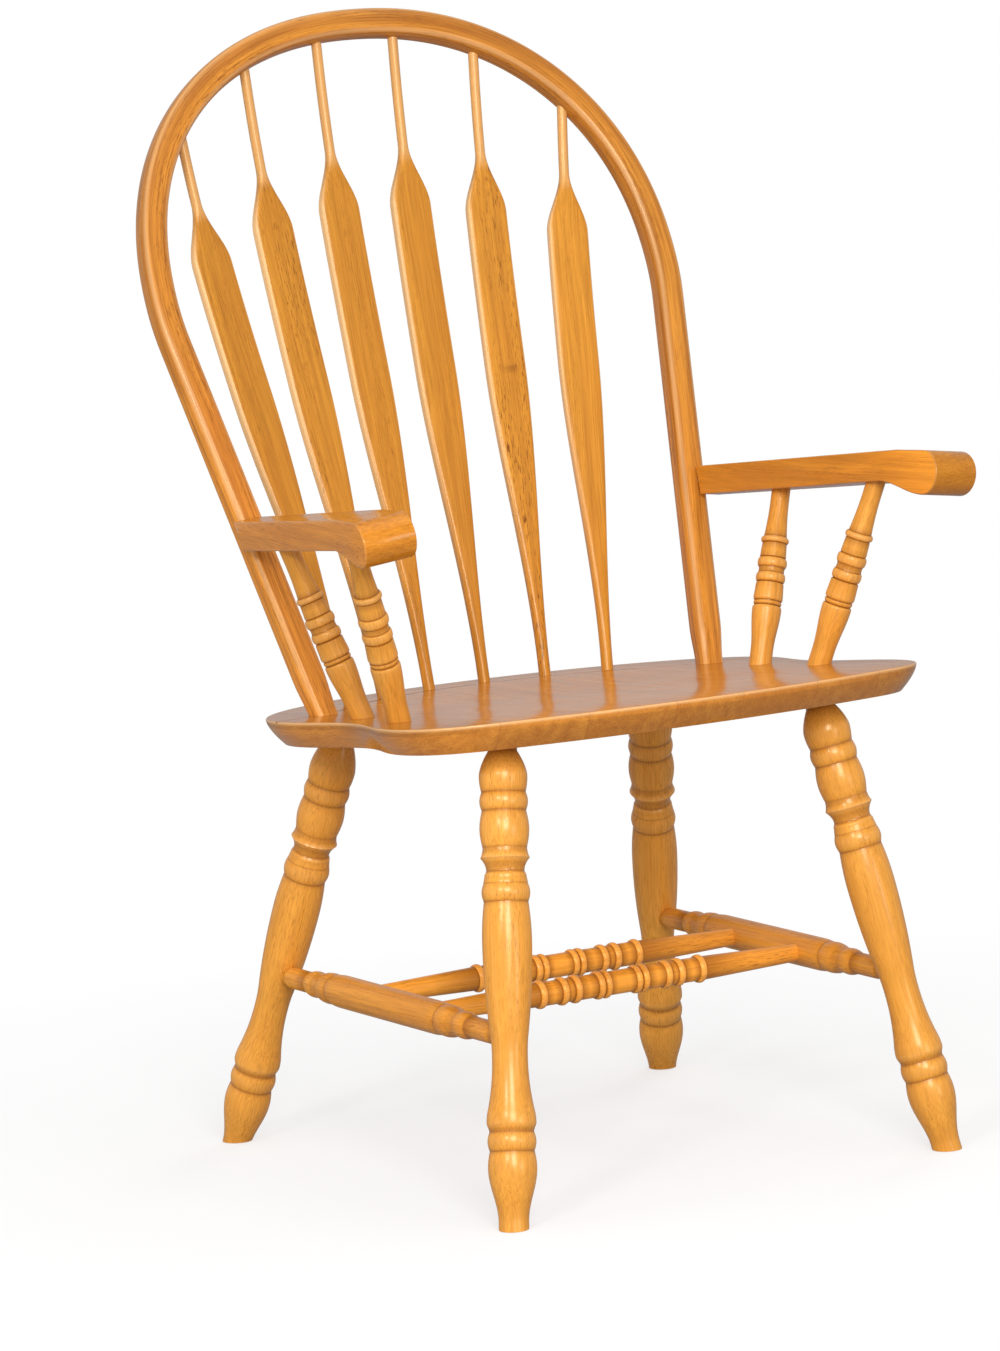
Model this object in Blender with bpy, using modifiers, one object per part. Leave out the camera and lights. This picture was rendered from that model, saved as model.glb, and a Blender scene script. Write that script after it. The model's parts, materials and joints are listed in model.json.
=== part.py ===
"""Bow-back dining armchair with arrow spindles, built as the pieces it is glued up from.

Metres, +Z up. +Y points to the back of the chair and +X to the sitter's left. Sizes are given from
the middle of the four feet on the floor. At the end the whole chair slides along Y, so that the
origin lies at the bottom centre of its box.
"""

import math

import bmesh
import bpy
from mathutils import Matrix, Vector

CHAIR = "dining_armchair"
FIT = 0.0003                    # glue gap round each tenon and between touching faces

# Seat, a plank that rises to the front
SEAT_HEIGHT = 0.4191            # top face above the floor, over the middle of the feet
SEAT_SLOPE = math.radians(3.63)
SEAT_THICKNESS = 0.0242
SEAT_FRONT = 0.270              # from the middle of the feet to the front edge
SEAT_BACK = 0.240               # and to the rear edge
SEAT_REAR_HALF_WIDTH = 0.256
SEAT_REAR_WIDEST = 0.055        # where the rear arc ends
SEAT_WAIST_HALF_WIDTH = 0.241
SEAT_WAIST = -0.045
SEAT_FRONT_HALF_WIDTH = 0.262
SEAT_FRONT_WIDEST = -0.160
SEAT_CORNER_WIDTH = 0.056       # run of the front corner's curve across the chair
SEAT_FRONT_SWEEP = 0.032        # how far the front edge falls back at the corners
SEAT_UNDERCUT = 0.0155          # how far the underside lies inside the top edge
SEAT_EDGE_ROUND = 0.0014
SEAT_EDGE_POWER = 1.5           # how late the edge turns under
SEAT_DISH = 0.005
SEAT_DISH_REACH = 0.72          # share of the way from the middle to the edge
SEAT_MIDDLE = -0.020            # centre of the dish
GROOVE_RADIUS = 0.0013
GROOVE_SETBACK = 0.0157         # groove line ahead of the spindles
GROOVE_SIDE = 0.066             # where the groove leaves the seat's sides
GROOVE_TURN = 0.150             # half width at which the groove turns outwards

# Legs, all of one turning
FRONT_FOOT = (0.2223, -0.2568)
REAR_FOOT = (0.2314, 0.2568)
FRONT_LEG_HEAD = (0.1615, -0.179)
REAR_LEG_HEAD = (0.1628, 0.1225)
LEG_FOOT = 0.0665               # floor to the ankle groove on a front leg
REAR_FOOT_CUT = 0.0092          # the rear feet are cut shorter
LEG_NECK = 0.0420               # upper groove to the seat on a front leg
REAR_LEG_DROP = 0.0067          # the rear legs stand out of the seat further
LEG_TIP_RADIUS = 0.0131
LEG_FOOT_RADIUS = 0.0212
LEG_GROOVE_RADIUS = 0.0193
LEG_RING_RADIUS = 0.0211
LEG_LIP_RADIUS = 0.0215
LEG_CREST_RADIUS = 0.0203       # where the lip turns into the hollow above it
LEG_ANKLE_RADIUS = 0.0155
LEG_CALF_RADIUS = 0.0164
LEG_BODY_RADIUS = 0.0216
LEG_STEP_RADIUS = 0.0183
LEG_COVE_RADIUS = 0.0166
LEG_TENON_RADIUS = 0.0128
LEG_TENON = 0.016
FOOT_TRIM = 0.009               # waste below the floor, sawn off flat
LEG_FOOT_FLARE = 0.046          # lengths of the cuts, from the floor up
LEG_FOOT_SHOULDER = 0.0143
LEG_ANKLE_RING = 0.0167
LEG_ANKLE_LIP = 0.0079
LEG_CREST = 0.0105
LEG_ANKLE_HOLLOW = 0.044
LEG_ANKLE = 0.004
LEG_CALF = 0.016
LEG_BODY_END = 0.033
LEG_RING = 0.016
LEG_STEP = 0.0065
LEG_COVE_FALL = 0.0045
LEG_COVE_RISE = 0.011
LEG_COVE_EDGE = 0.009
LEG_BARREL = 0.032
LEG_BULB = 0.014
DOME_POWER = 1.6                # how late the bulb turns in under the seat

# Stretchers
SIDE_STRETCHER_FRONT = 0.1645   # up the front leg's axis
SIDE_STRETCHER_REAR = 0.1725    # up the rear leg's axis
SIDE_STRETCHER_TENON_RADIUS = 0.0085
SIDE_STRETCHER_NECK_RADIUS = 0.0099
SIDE_STRETCHER_BEAD_RADIUS = 0.0121
SIDE_STRETCHER_WAIST_RADIUS = 0.0115
SIDE_STRETCHER_RING_RADIUS = 0.0143
SIDE_STRETCHER_GROOVE_RADIUS = 0.0136
SIDE_STRETCHER_RADIUS = 0.0150
SIDE_STRETCHER_NECK = 0.064     # leg axis to the first bead, then the lengths of the cuts
SIDE_STRETCHER_BEAD = 0.018
SIDE_STRETCHER_RISE = 0.014
SIDE_STRETCHER_RING = 0.016
SIDE_STRETCHER_SWELL = 0.015
CROSS_STRETCHERS = {"cross_stretcher_front": -0.074, "cross_stretcher_rear": 0.040}
CROSS_STRETCHER_TENON_RADIUS = 0.0082
CROSS_STRETCHER_RADIUS = 0.0109
CROSS_STRETCHER_BEAD_RADIUS = 0.0130
CROSS_STRETCHER_BEAD_LENGTH = 0.0068
CROSS_STRETCHER_BEADS = (0.0830, 0.0605, 0.0470, 0.0230, 0.0162)    # from the rod's middle
TENON_SHORT = 0.005             # a stretcher's end stops short of the other axis by this

# Bow, bent in one leaning plane
BOW_FOOT = 0.0760               # where the plane meets the seat
BOW_RECLINE = math.radians(21.8)
BOW_FOOT_HALF_WIDTH = 0.203
BOW_HALF_WIDTH = 0.2640
BOW_STRAIGHT = 0.360            # straight run of each leg, up the plane
BOW_SPRING = 0.4010             # where the crown starts
BOW_CROWN = 0.2558              # rise of the crown
BOW_CROWN_POWER = 2.17
BOW_SECTION = 0.0132            # half thickness
BOW_SECTION_POWER = 2.8
BOW_FOOT_TAPER = 0.86
BOW_TAPER_LENGTH = 0.037
BOW_TENON = 0.019

# Arrow spindles
SPINDLE_COUNT = 6
SPINDLE_ARC_RADIUS = 0.2197
SPINDLE_ARC_CENTRE = -0.020
SPINDLE_ARC_PITCH = math.radians(15.4)
SPINDLE_HEAD_PITCH = 0.0815     # spacing across the bow
SPINDLE_FOOT_RADIUS = 0.0056
SPINDLE_NECK_RADIUS = 0.0048
SPINDLE_FOOT_STRAIGHT = 0.020   # plain round foot
SPINDLE_HEAD_STRAIGHT = 0.032   # unbent run into the bow
SPINDLE_SWELL = 0.280           # length over which the paddle reaches full width
SPINDLE_SHOULDER = 0.4573       # seat to the arrow's shoulder on the centre line
SPINDLE_SHOULDER_DROP = 0.0053  # and its fall away from the centre, per step squared
SPINDLE_HEAD_TAPER = 0.056
SPINDLE_BULGE = 0.0135          # bend to the back, greatest towards the arrow's shoulder
SPINDLE_BEND_POWER = 2.3
SPINDLE_TENON = 0.015
SPINDLE_FAN = math.radians(2.4)
PADDLE_WIDTH = 0.040
PADDLE_THICKNESS = 0.012

# Arms and their posts
ARM_UNDERSIDE = 0.5745          # height over ARM_LEVEL_AT
ARM_LEVEL_AT = 0.020
ARM_PITCH = math.radians(4.86)  # rise to the front
ARM_ROLL = math.radians(7.69)   # fall to the outside
ARM_THICKNESS = 0.0268
ARM_NOSE_RADIUS = 0.0198
ARM_NOSE_TIP = -0.233
ARM_NOSE_DROP = 0.0025          # top of the nose below the line of the arm's top
ARM_SWEEP_START = -0.150        # where the underside starts down to the nose
ARM_REAR_MIDDLE = 0.2405        # middle of the arm's width at the bow
ARM_REAR = 0.1295
ARM_OVERHANG = 0.0252           # middle of the nose outside the seat's front corner
ARM_FRONT_MIDDLE = SEAT_FRONT_HALF_WIDTH + ARM_OVERHANG
ARM_REAR_WIDTH = 0.022
ARM_FRONT_WIDTH = 0.0470
ARM_EDGE_ROUND = 0.002
REAR_POST_INSET = 0.0338        # foot in from the seat's side at its waist
REAR_POST_BACK = -0.0085        # foot along the seat
REAR_POST_HEAD = (0.0016, 0.0177)       # out from the middle of the arm, and along it
FRONT_POST_INSET = 0.0455       # foot in from the seat's side at its front corner
FRONT_POST_BACK = -0.0957
FRONT_POST_HEAD = (-0.0068, -0.1290)
POST_FOOT_RADIUS = 0.0104
POST_SHOULDER_RADIUS = 0.0135
POST_GROOVE_RADIUS = 0.0121
POST_RING_RADIUS = 0.0136
POST_DRUM_RADIUS = 0.0113
POST_DISC_RADIUS = 0.0129
POST_HEAD_RADIUS = 0.0086
POST_FOOT_TENON = 0.016
POST_HEAD_TENON = 0.013
POST_PATTERN = 0.170            # length that the cuts below are for: each post stretches them
POST_BASE = 0.026
POST_FLARE = 0.027
POST_SHOULDER = 0.003
POST_BAND = 0.004
POST_BARREL = 0.019
POST_RING = 0.0085
POST_COVE = 0.006
POST_DRUM = 0.015
POST_DISC = 0.006
POST_NECK = 0.036

# Screw through the bow into each arm, under a wood plug
SCREW_RADIUS = 0.0022
SCREW_HEAD_RADIUS = 0.0042
SCREW_HEAD_HEIGHT = 0.0030
SCREW_LENGTH = 0.046
PLUG_RADIUS = 0.0055
PLUG_HEIGHT = 0.0065
PLUG_PROUD = 0.0012

# Facets
LEG_SIDES = 10
ROD_SIDES = 9
BORE_SIDES = 12
SECTION_SIDES = 12
GROOVE_SIDES = 6
CROWN_STEPS = 11
SMOOTH_ANGLE = math.radians(40)


# Shapes of a turner's cuts: radius at share t of the cut, from radius a to radius b
def taper(t, a, b):
    return a + (b - a) * t


def ease(t, a, b):
    return a + (b - a) * (1 - math.cos(math.pi * t)) / 2


def hollow(t, a, b):
    return b + (a - b) * (1 - t) ** 2


def flare(t, a, b):
    return a + (b - a) * t ** 2


def dome(t, a, b):
    return a + (b - a) * t ** DOME_POWER


def bead(t, a, b, peak):
    return taper(t, a, b) + (peak - (a + b) / 2) * math.sin(math.pi * t)


CUT_POINTS = {taper: 1, ease: 3, hollow: 3, flare: 2, dome: 3, bead: 3}


def turned_profile(start_radius, cuts):
    """Stations (distance, radius) of a turning made of (shape, length, end radius, peak) cuts."""
    stations = [(0.0, start_radius)]
    for shape, length, *radii in cuts:
        distance, radius = stations[-1]
        count = CUT_POINTS[shape]
        for i in range(1, count + 1):
            share = i / count
            stations.append((distance + length * share, shape(share, radius, *radii)))
    return stations


# Scene and material helpers
def new_collection(name):
    collection = bpy.data.collections.new(name)
    bpy.context.scene.collection.children.link(collection)
    return collection


def make_material(name, colour, roughness, metallic=0.0):
    material = bpy.data.materials.new(name)
    material.use_nodes = True
    shader = material.node_tree.nodes["Principled BSDF"]
    shader.inputs["Base Color"].default_value = (*colour, 1.0)
    shader.inputs["Roughness"].default_value = roughness
    shader.inputs["Metallic"].default_value = metallic
    return material


def place_along(start, end):
    """Matrix at start whose Z axis points to end."""
    direction = end - start
    return Matrix.Translation(start) @ direction.to_track_quat("Z", "Y").to_matrix().to_4x4()


class Chair:
    """The collections and the root that every piece and cutter goes into."""

    def __init__(self):
        self.parts = new_collection(CHAIR)
        self.cutters = new_collection("cutters")
        self.root = bpy.data.objects.new("chair_root", None)
        self.parts.objects.link(self.root)

    def add_part(self, name, mesh, material, place=Matrix()):
        mesh.materials.append(material)
        mesh.shade_smooth()
        mesh.set_sharp_from_angle(angle=SMOOTH_ANGLE)
        part = bpy.data.objects.new(name, mesh)
        part.matrix_world = place
        part.parent = self.root
        self.parts.objects.link(part)
        return part

    def add_cutter(self, name, mesh, place=Matrix()):
        cutter = bpy.data.objects.new(name, mesh)
        cutter.matrix_world = place
        cutter.parent = self.root
        cutter.hide_render = True
        cutter.display_type = "WIRE"
        self.cutters.objects.link(cutter)
        return cutter


def cut(part, cutter):
    modifier = part.modifiers.new(cutter.name, "BOOLEAN")
    modifier.operation = "DIFFERENCE"
    modifier.object = cutter


def mesh_from(name, bm):
    bmesh.ops.recalc_face_normals(bm, faces=bm.faces)
    mesh = bpy.data.meshes.new(name)
    bm.to_mesh(mesh)
    bm.free()
    return mesh


def turn(chair, name, stations, place, sides, material):
    """A turned piece: the profile runs from its top down to its bottom, spun about Z."""
    outline = [(0.0, stations[-1][0])]
    outline += [(radius, distance) for distance, radius in reversed(stations)]
    outline.append((0.0, stations[0][0]))
    mesh = bpy.data.meshes.new(name)
    mesh.from_pydata(
        [(radius, 0.0, distance) for radius, distance in outline],
        [(i, i + 1) for i in range(len(outline) - 1)],
        [],
    )
    part = chair.add_part(name, mesh, material, place)
    spin = part.modifiers.new("spin", "SCREW")
    spin.steps = sides
    spin.render_steps = sides
    spin.use_merge_vertices = True
    spin.merge_threshold = 0.00001
    spin.use_smooth_shade = True
    return part


def bores(chair, name, holes):
    """One cutter of round bores, each from start to end with clearance round a given radius."""
    bm = bmesh.new()
    for start, end, radius in holes:
        depth = (end - start).length
        clear = (radius + FIT) / math.cos(math.pi / BORE_SIDES)
        middle = place_along(start, end) @ Matrix.Translation((0, 0, depth / 2))
        bmesh.ops.create_cone(
            bm, cap_ends=True, segments=BORE_SIDES, radius1=clear, radius2=clear, depth=depth,
            matrix=middle,
        )
    return chair.add_cutter(name, mesh_from(name, bm))


def loft(name, rings):
    """Closed mesh over rings of equal length, capped at both ends."""
    bm = bmesh.new()
    loops = [[bm.verts.new(point) for point in ring] for ring in rings]
    for lower, upper in zip(loops, loops[1:]):
        for i in range(len(lower)):
            j = (i + 1) % len(lower)
            bm.faces.new((lower[i], lower[j], upper[j], upper[i]))
    bm.faces.new(loops[0])
    bm.faces.new(loops[-1])
    return mesh_from(name, bm)


def rounded_section(half_width, half_height, power, sides=SECTION_SIDES):
    points = []
    for i in range(sides):
        angle = 2 * math.pi * (i + 0.5) / sides
        across = math.copysign(abs(math.cos(angle)) ** (2 / power), math.cos(angle))
        up = math.copysign(abs(math.sin(angle)) ** (2 / power), math.sin(angle))
        points.append((half_width * across, half_height * up))
    return points


def seat_top(x, y):
    """Point on the plane of the seat's top face."""
    return Vector((x, y, SEAT_HEIGHT - y * math.tan(SEAT_SLOPE)))


def seat_underside(x, y):
    return seat_top(x, y) - Vector((0, 0, SEAT_THICKNESS / math.cos(SEAT_SLOPE)))


def mirrored(point, side):
    """A (half width, y) pair as x and y on one side of the chair."""
    return side * point[0], point[1]


# Seat
def seat_half_outline():
    """Right half of the seat's top edge, from the middle of the back to the middle of the front."""
    points = []
    for i in range(8):
        angle = math.pi / 2 * i / 8
        points.append((
            SEAT_REAR_HALF_WIDTH * math.sin(angle),
            SEAT_REAR_WIDEST + (SEAT_BACK - SEAT_REAR_WIDEST) * math.cos(angle),
        ))
    sides = (
        (SEAT_REAR_HALF_WIDTH, SEAT_REAR_WIDEST, SEAT_WAIST_HALF_WIDTH, SEAT_WAIST),
        (SEAT_WAIST_HALF_WIDTH, SEAT_WAIST, SEAT_FRONT_HALF_WIDTH, SEAT_FRONT_WIDEST),
    )
    for width_a, y_a, width_b, y_b in sides:
        for i in range(3):
            points.append((ease(i / 3, width_a, width_b), taper(i / 3, y_a, y_b)))
    corner_x = SEAT_FRONT_HALF_WIDTH - SEAT_CORNER_WIDTH
    corner_y = SEAT_FRONT_SWEEP - SEAT_FRONT
    slope = 2 * SEAT_FRONT_SWEEP / corner_x
    pull = Vector((SEAT_FRONT_HALF_WIDTH, corner_y + slope * SEAT_CORNER_WIDTH))
    start = Vector((SEAT_FRONT_HALF_WIDTH, SEAT_FRONT_WIDEST))
    end = Vector((corner_x, corner_y))
    for i in range(4):
        t = i / 4
        points.append(tuple(start * (1 - t) ** 2 + pull * 2 * t * (1 - t) + end * t * t))
    for i in range(5):
        x = corner_x * (1 - i / 4)
        points.append((x, SEAT_FRONT_SWEEP * (x / corner_x) ** 2 - SEAT_FRONT))
    return points


def seat_outline():
    half = seat_half_outline()
    return half + [(-x, y) for x, y in reversed(half[1:-1])]


def seat_ring(outline, inset, drop):
    """The outline drawn in towards the dish's centre by a distance, at a depth below the top."""
    ring = []
    for x, y in outline:
        reach = math.hypot(x, y - SEAT_MIDDLE)
        share = 1 - inset / reach
        ring.append(Vector((x * share, SEAT_MIDDLE + (y - SEAT_MIDDLE) * share, -drop)))
    return ring


def seat_mesh():
    outline = seat_outline()
    rings = []
    for share in (1.0, 0.75, 0.5, 0.25, 0.0):
        inset = SEAT_UNDERCUT * share ** SEAT_EDGE_POWER
        drop = SEAT_EDGE_ROUND + (SEAT_THICKNESS - SEAT_EDGE_ROUND) * share
        rings.append(seat_ring(outline, inset, drop))
    rings.append(seat_ring(outline, SEAT_EDGE_ROUND, 0.0))
    for share in (1.0, 0.7, 0.4, 0.06):
        reach = share * SEAT_DISH_REACH
        depth = SEAT_DISH * (1 - share ** 2) ** 2
        rings.append([
            Vector((x * reach, SEAT_MIDDLE + (y - SEAT_MIDDLE) * reach, -depth)) for x, y in outline
        ])
    return loft("seat", rings)


def groove_path():
    """Right half of the line scribed ahead of the spindles, out past the seat's side."""
    radius = SPINDLE_ARC_RADIUS - GROOVE_SETBACK
    turn_angle = math.asin(GROOVE_TURN / radius)
    points = []
    for i in range(8):
        angle = turn_angle * i / 7
        points.append(Vector((
            radius * math.sin(angle), SPINDLE_ARC_CENTRE + radius * math.cos(angle),
        )))
    start = points[-1]
    run = (start.y - GROOVE_SIDE) / math.tan(turn_angle)
    pull = Vector((start.x + run, GROOVE_SIDE))
    end = Vector((SEAT_REAR_HALF_WIDTH + SEAT_UNDERCUT, GROOVE_SIDE))
    for i in range(1, 7):
        t = i / 6
        points.append(start * (1 - t) ** 2 + pull * 2 * t * (1 - t) + end * t * t)
    return points


def swept(name, points, scales, section):
    """Mesh of a flat section carried along a path in the local XY plane."""
    outline = bpy.data.curves.new(name + "_section", "CURVE")
    outline.dimensions = "2D"
    spline = outline.splines.new("POLY")
    spline.points.add(len(section) - 1)
    for point, (across, up) in zip(spline.points, section):
        point.co = (across, up, 0.0, 1.0)
    spline.use_cyclic_u = True
    outline_object = bpy.data.objects.new(outline.name, outline)
    bpy.context.scene.collection.objects.link(outline_object)

    path = bpy.data.curves.new(name + "_path", "CURVE")
    path.dimensions = "3D"
    path.twist_mode = "Z_UP"
    path.bevel_mode = "OBJECT"
    path.bevel_object = outline_object
    path.use_fill_caps = True
    spline = path.splines.new("POLY")
    spline.points.add(len(points) - 1)
    for point, (x, y), scale in zip(spline.points, points, scales):
        point.co = (x, y, 0.0, 1.0)
        point.radius = scale
    path_object = bpy.data.objects.new(path.name, path)
    bpy.context.scene.collection.objects.link(path_object)

    depsgraph = bpy.context.evaluated_depsgraph_get()
    flat = bpy.data.meshes.new_from_object(path_object.evaluated_get(depsgraph))
    bm = bmesh.new()
    bm.from_mesh(flat)
    bmesh.ops.remove_doubles(bm, verts=bm.verts, dist=0.000001)
    for leftover in (path_object, outline_object):
        bpy.data.objects.remove(leftover)
    return mesh_from(name, bm)


def make_seat(chair, material):
    place = Matrix.Translation((0, 0, SEAT_HEIGHT)) @ Matrix.Rotation(-SEAT_SLOPE, 4, "X")
    seat = chair.add_part("seat", seat_mesh(), material, place)
    half = groove_path()
    line = [(-p.x, p.y) for p in reversed(half[1:])] + [(p.x, p.y) for p in half]
    round_cutter = rounded_section(GROOVE_RADIUS, GROOVE_RADIUS, 2, GROOVE_SIDES)
    groove = swept("seat_groove", line, [1.0] * len(line), round_cutter)
    cut(seat, chair.add_cutter("seat_groove", groove, place))
    return seat


# Legs
def leg_axis(foot, head, side):
    x, y = mirrored(foot, side)
    return Vector((x, y, 0.0)), seat_underside(*mirrored(head, side))


def leg_stations(length, foot, neck):
    """The leg's turning from below the floor up to the end of its tenon."""
    lean_room = LEG_TENON_RADIUS / 2
    plain = foot - LEG_FOOT_FLARE - LEG_FOOT_SHOULDER
    groove = LEG_GROOVE_RADIUS
    ankle = [
        (bead, LEG_ANKLE_RING, groove, LEG_RING_RADIUS),
        (taper, LEG_ANKLE_LIP, LEG_LIP_RADIUS),
        (flare, LEG_CREST, LEG_CREST_RADIUS),
        (hollow, LEG_ANKLE_HOLLOW, LEG_ANKLE_RADIUS),
        (taper, LEG_ANKLE, LEG_ANKLE_RADIUS),
        (flare, LEG_CALF, LEG_CALF_RADIUS),
    ]
    upper = [
        (flare, LEG_BODY_END, groove),
        (bead, LEG_RING, groove, LEG_RING_RADIUS),
        (taper, LEG_STEP, LEG_STEP_RADIUS),
        (taper, LEG_COVE_FALL, LEG_COVE_RADIUS),
        (flare, LEG_COVE_RISE, LEG_LIP_RADIUS),
        (taper, LEG_COVE_EDGE, groove),
        (bead, LEG_BARREL, groove, LEG_BODY_RADIUS),
        (bead, LEG_RING, groove, LEG_RING_RADIUS),
    ]
    body = length - foot - neck - sum(row[1] for row in ankle + upper)
    cuts = [
        (taper, FOOT_TRIM + plain, LEG_TIP_RADIUS),
        (ease, LEG_FOOT_FLARE, LEG_FOOT_RADIUS),
        (flare, LEG_FOOT_SHOULDER, groove),
        *ankle,
        (hollow, body, LEG_BODY_RADIUS),
        *upper,
        (hollow, LEG_BULB, LEG_RING_RADIUS),
        (dome, neck - LEG_BULB - lean_room, LEG_TENON_RADIUS),
        (taper, lean_room + LEG_TENON, LEG_TENON_RADIUS),
    ]
    stations = turned_profile(LEG_TIP_RADIUS, cuts)
    return [(distance - FOOT_TRIM, radius) for distance, radius in stations]


def make_leg(chair, name, axis, foot, neck, material):
    start, end = axis
    stations = leg_stations((end - start).length, foot, neck)
    return turn(chair, name, stations, place_along(start, end), LEG_SIDES, material)


def leg_bore(axis):
    start, end = axis
    along = (end - start).normalized()
    return end - along * 2 * LEG_TENON_RADIUS, end + along * (LEG_TENON + FIT), LEG_TENON_RADIUS


def floor_cutter(chair):
    """Everything below the floor, which the feet are sawn flat to."""
    bm = bmesh.new()
    size = 2 * max(FRONT_FOOT[0], REAR_FOOT[1]) + 8 * LEG_FOOT_RADIUS
    depth = 8 * FOOT_TRIM
    bmesh.ops.create_cube(bm, size=1.0)
    bmesh.ops.scale(bm, vec=(size, size, depth), verts=bm.verts)
    bmesh.ops.translate(bm, vec=(0, 0, -depth / 2), verts=bm.verts)
    return chair.add_cutter("floor", mesh_from("floor", bm))


# Stretchers
def symmetric(half):
    """A turning whose second half mirrors its first: stations up to the middle, then back."""
    middle = half[-1][0]
    return half + [(2 * middle - distance, radius) for distance, radius in reversed(half[:-1])]


def side_stretcher_stations(length):
    shoulder_at = LEG_CALF_RADIUS + SIDE_STRETCHER_NECK_RADIUS / 2
    half = [
        (taper, shoulder_at - TENON_SHORT, SIDE_STRETCHER_TENON_RADIUS),
        (taper, LEG_CALF_RADIUS / 2, SIDE_STRETCHER_NECK_RADIUS),
        (taper, SIDE_STRETCHER_NECK - shoulder_at - LEG_CALF_RADIUS / 2, SIDE_STRETCHER_NECK_RADIUS),
        (bead, SIDE_STRETCHER_BEAD, SIDE_STRETCHER_WAIST_RADIUS, SIDE_STRETCHER_BEAD_RADIUS),
        (flare, SIDE_STRETCHER_RISE, SIDE_STRETCHER_GROOVE_RADIUS),
        (bead, SIDE_STRETCHER_RING, SIDE_STRETCHER_GROOVE_RADIUS, SIDE_STRETCHER_RING_RADIUS),
        (hollow, SIDE_STRETCHER_SWELL, SIDE_STRETCHER_RADIUS),
    ]
    used = sum(row[1] for row in half)
    half.append((taper, length / 2 - TENON_SHORT - used, SIDE_STRETCHER_RADIUS))
    return symmetric(turned_profile(SIDE_STRETCHER_TENON_RADIUS, half))


def cross_stretcher_stations(length):
    """Plain tapered ends and a middle with beads cut at set places."""
    inside = SIDE_STRETCHER_RADIUS
    core = CROSS_STRETCHER_RADIUS
    at = length / 2 - TENON_SHORT - inside
    half = [(taper, inside, CROSS_STRETCHER_TENON_RADIUS)]
    for middle in CROSS_STRETCHER_BEADS:
        outer = middle + CROSS_STRETCHER_BEAD_LENGTH / 2
        half.append((taper, at - outer, core))
        half.append((bead, CROSS_STRETCHER_BEAD_LENGTH, core, CROSS_STRETCHER_BEAD_RADIUS))
        at = outer - CROSS_STRETCHER_BEAD_LENGTH
    half.append((taper, at, core))
    return symmetric(turned_profile(CROSS_STRETCHER_TENON_RADIUS, half))


def rod_between(chair, name, start, end, stations, material):
    along = (end - start).normalized()
    place = place_along(start + along * TENON_SHORT, end)
    return turn(chair, name, stations, place, ROD_SIDES, material)


def rod_bore(start, end, outside, radius):
    """Bore for a rod's tenon, from just short of an axis out past a surface."""
    along = (end - start).normalized()
    return start + along * (TENON_SHORT - FIT), start + along * outside, radius


# Bow
def bow_slope():
    return (BOW_HALF_WIDTH - BOW_FOOT_HALF_WIDTH) / ((BOW_STRAIGHT + BOW_SPRING) / 2)


def bow_half_width(rise):
    """Half width of a bow leg's centre line at a rise up the plane below the crown."""
    width = BOW_FOOT_HALF_WIDTH + bow_slope() * rise
    bent = max(0.0, rise - BOW_STRAIGHT)
    return width - bow_slope() * bent ** 2 / (2 * (BOW_SPRING - BOW_STRAIGHT))


def bow_crown_rise(x):
    share = abs(x) / BOW_HALF_WIDTH
    return BOW_SPRING + BOW_CROWN * (1 - share ** BOW_CROWN_POWER) ** (1 / BOW_CROWN_POWER)


def bow_place():
    foot = seat_top(0.0, BOW_FOOT)
    return Matrix.Translation(foot) @ Matrix.Rotation(math.pi / 2 - BOW_RECLINE, 4, "X")


def bow_point(x, rise):
    return bow_place() @ Vector((x, rise, 0.0))


def bow_half_path(extra):
    """Right half of the centre line, from the tenon's end to the top, with the section's scale."""
    rises = [-BOW_TENON - extra, 0.0, BOW_TAPER_LENGTH / 2, BOW_TAPER_LENGTH]
    rises += [BOW_TAPER_LENGTH + (BOW_STRAIGHT - BOW_TAPER_LENGTH) * i / 3 for i in (1, 2, 3)]
    rises += [BOW_STRAIGHT + (BOW_SPRING - BOW_STRAIGHT) * i / 4 for i in (1, 2, 3)]
    path = []
    for rise in rises:
        share = min(1.0, max(0.0, rise / BOW_TAPER_LENGTH))
        path.append(((bow_half_width(rise), rise), ease(share, BOW_FOOT_TAPER, 1.0)))
    power = 2 / BOW_CROWN_POWER
    for i in range(CROWN_STEPS + 1):
        angle = math.pi / 2 * i / CROWN_STEPS
        x = BOW_HALF_WIDTH * max(0.0, math.cos(angle)) ** power
        path.append(((x, BOW_SPRING + BOW_CROWN * math.sin(angle) ** power), 1.0))
    return path


def bow_mesh(name, grow):
    half = bow_half_path(grow)
    full = half + [((-x, rise), scale) for (x, rise), scale in reversed(half[:-1])]
    points = [point for point, scale in full]
    scales = [scale for point, scale in full]
    size = BOW_SECTION + grow / BOW_FOOT_TAPER
    return swept(name, points, scales, rounded_section(size, size, BOW_SECTION_POWER))


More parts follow.
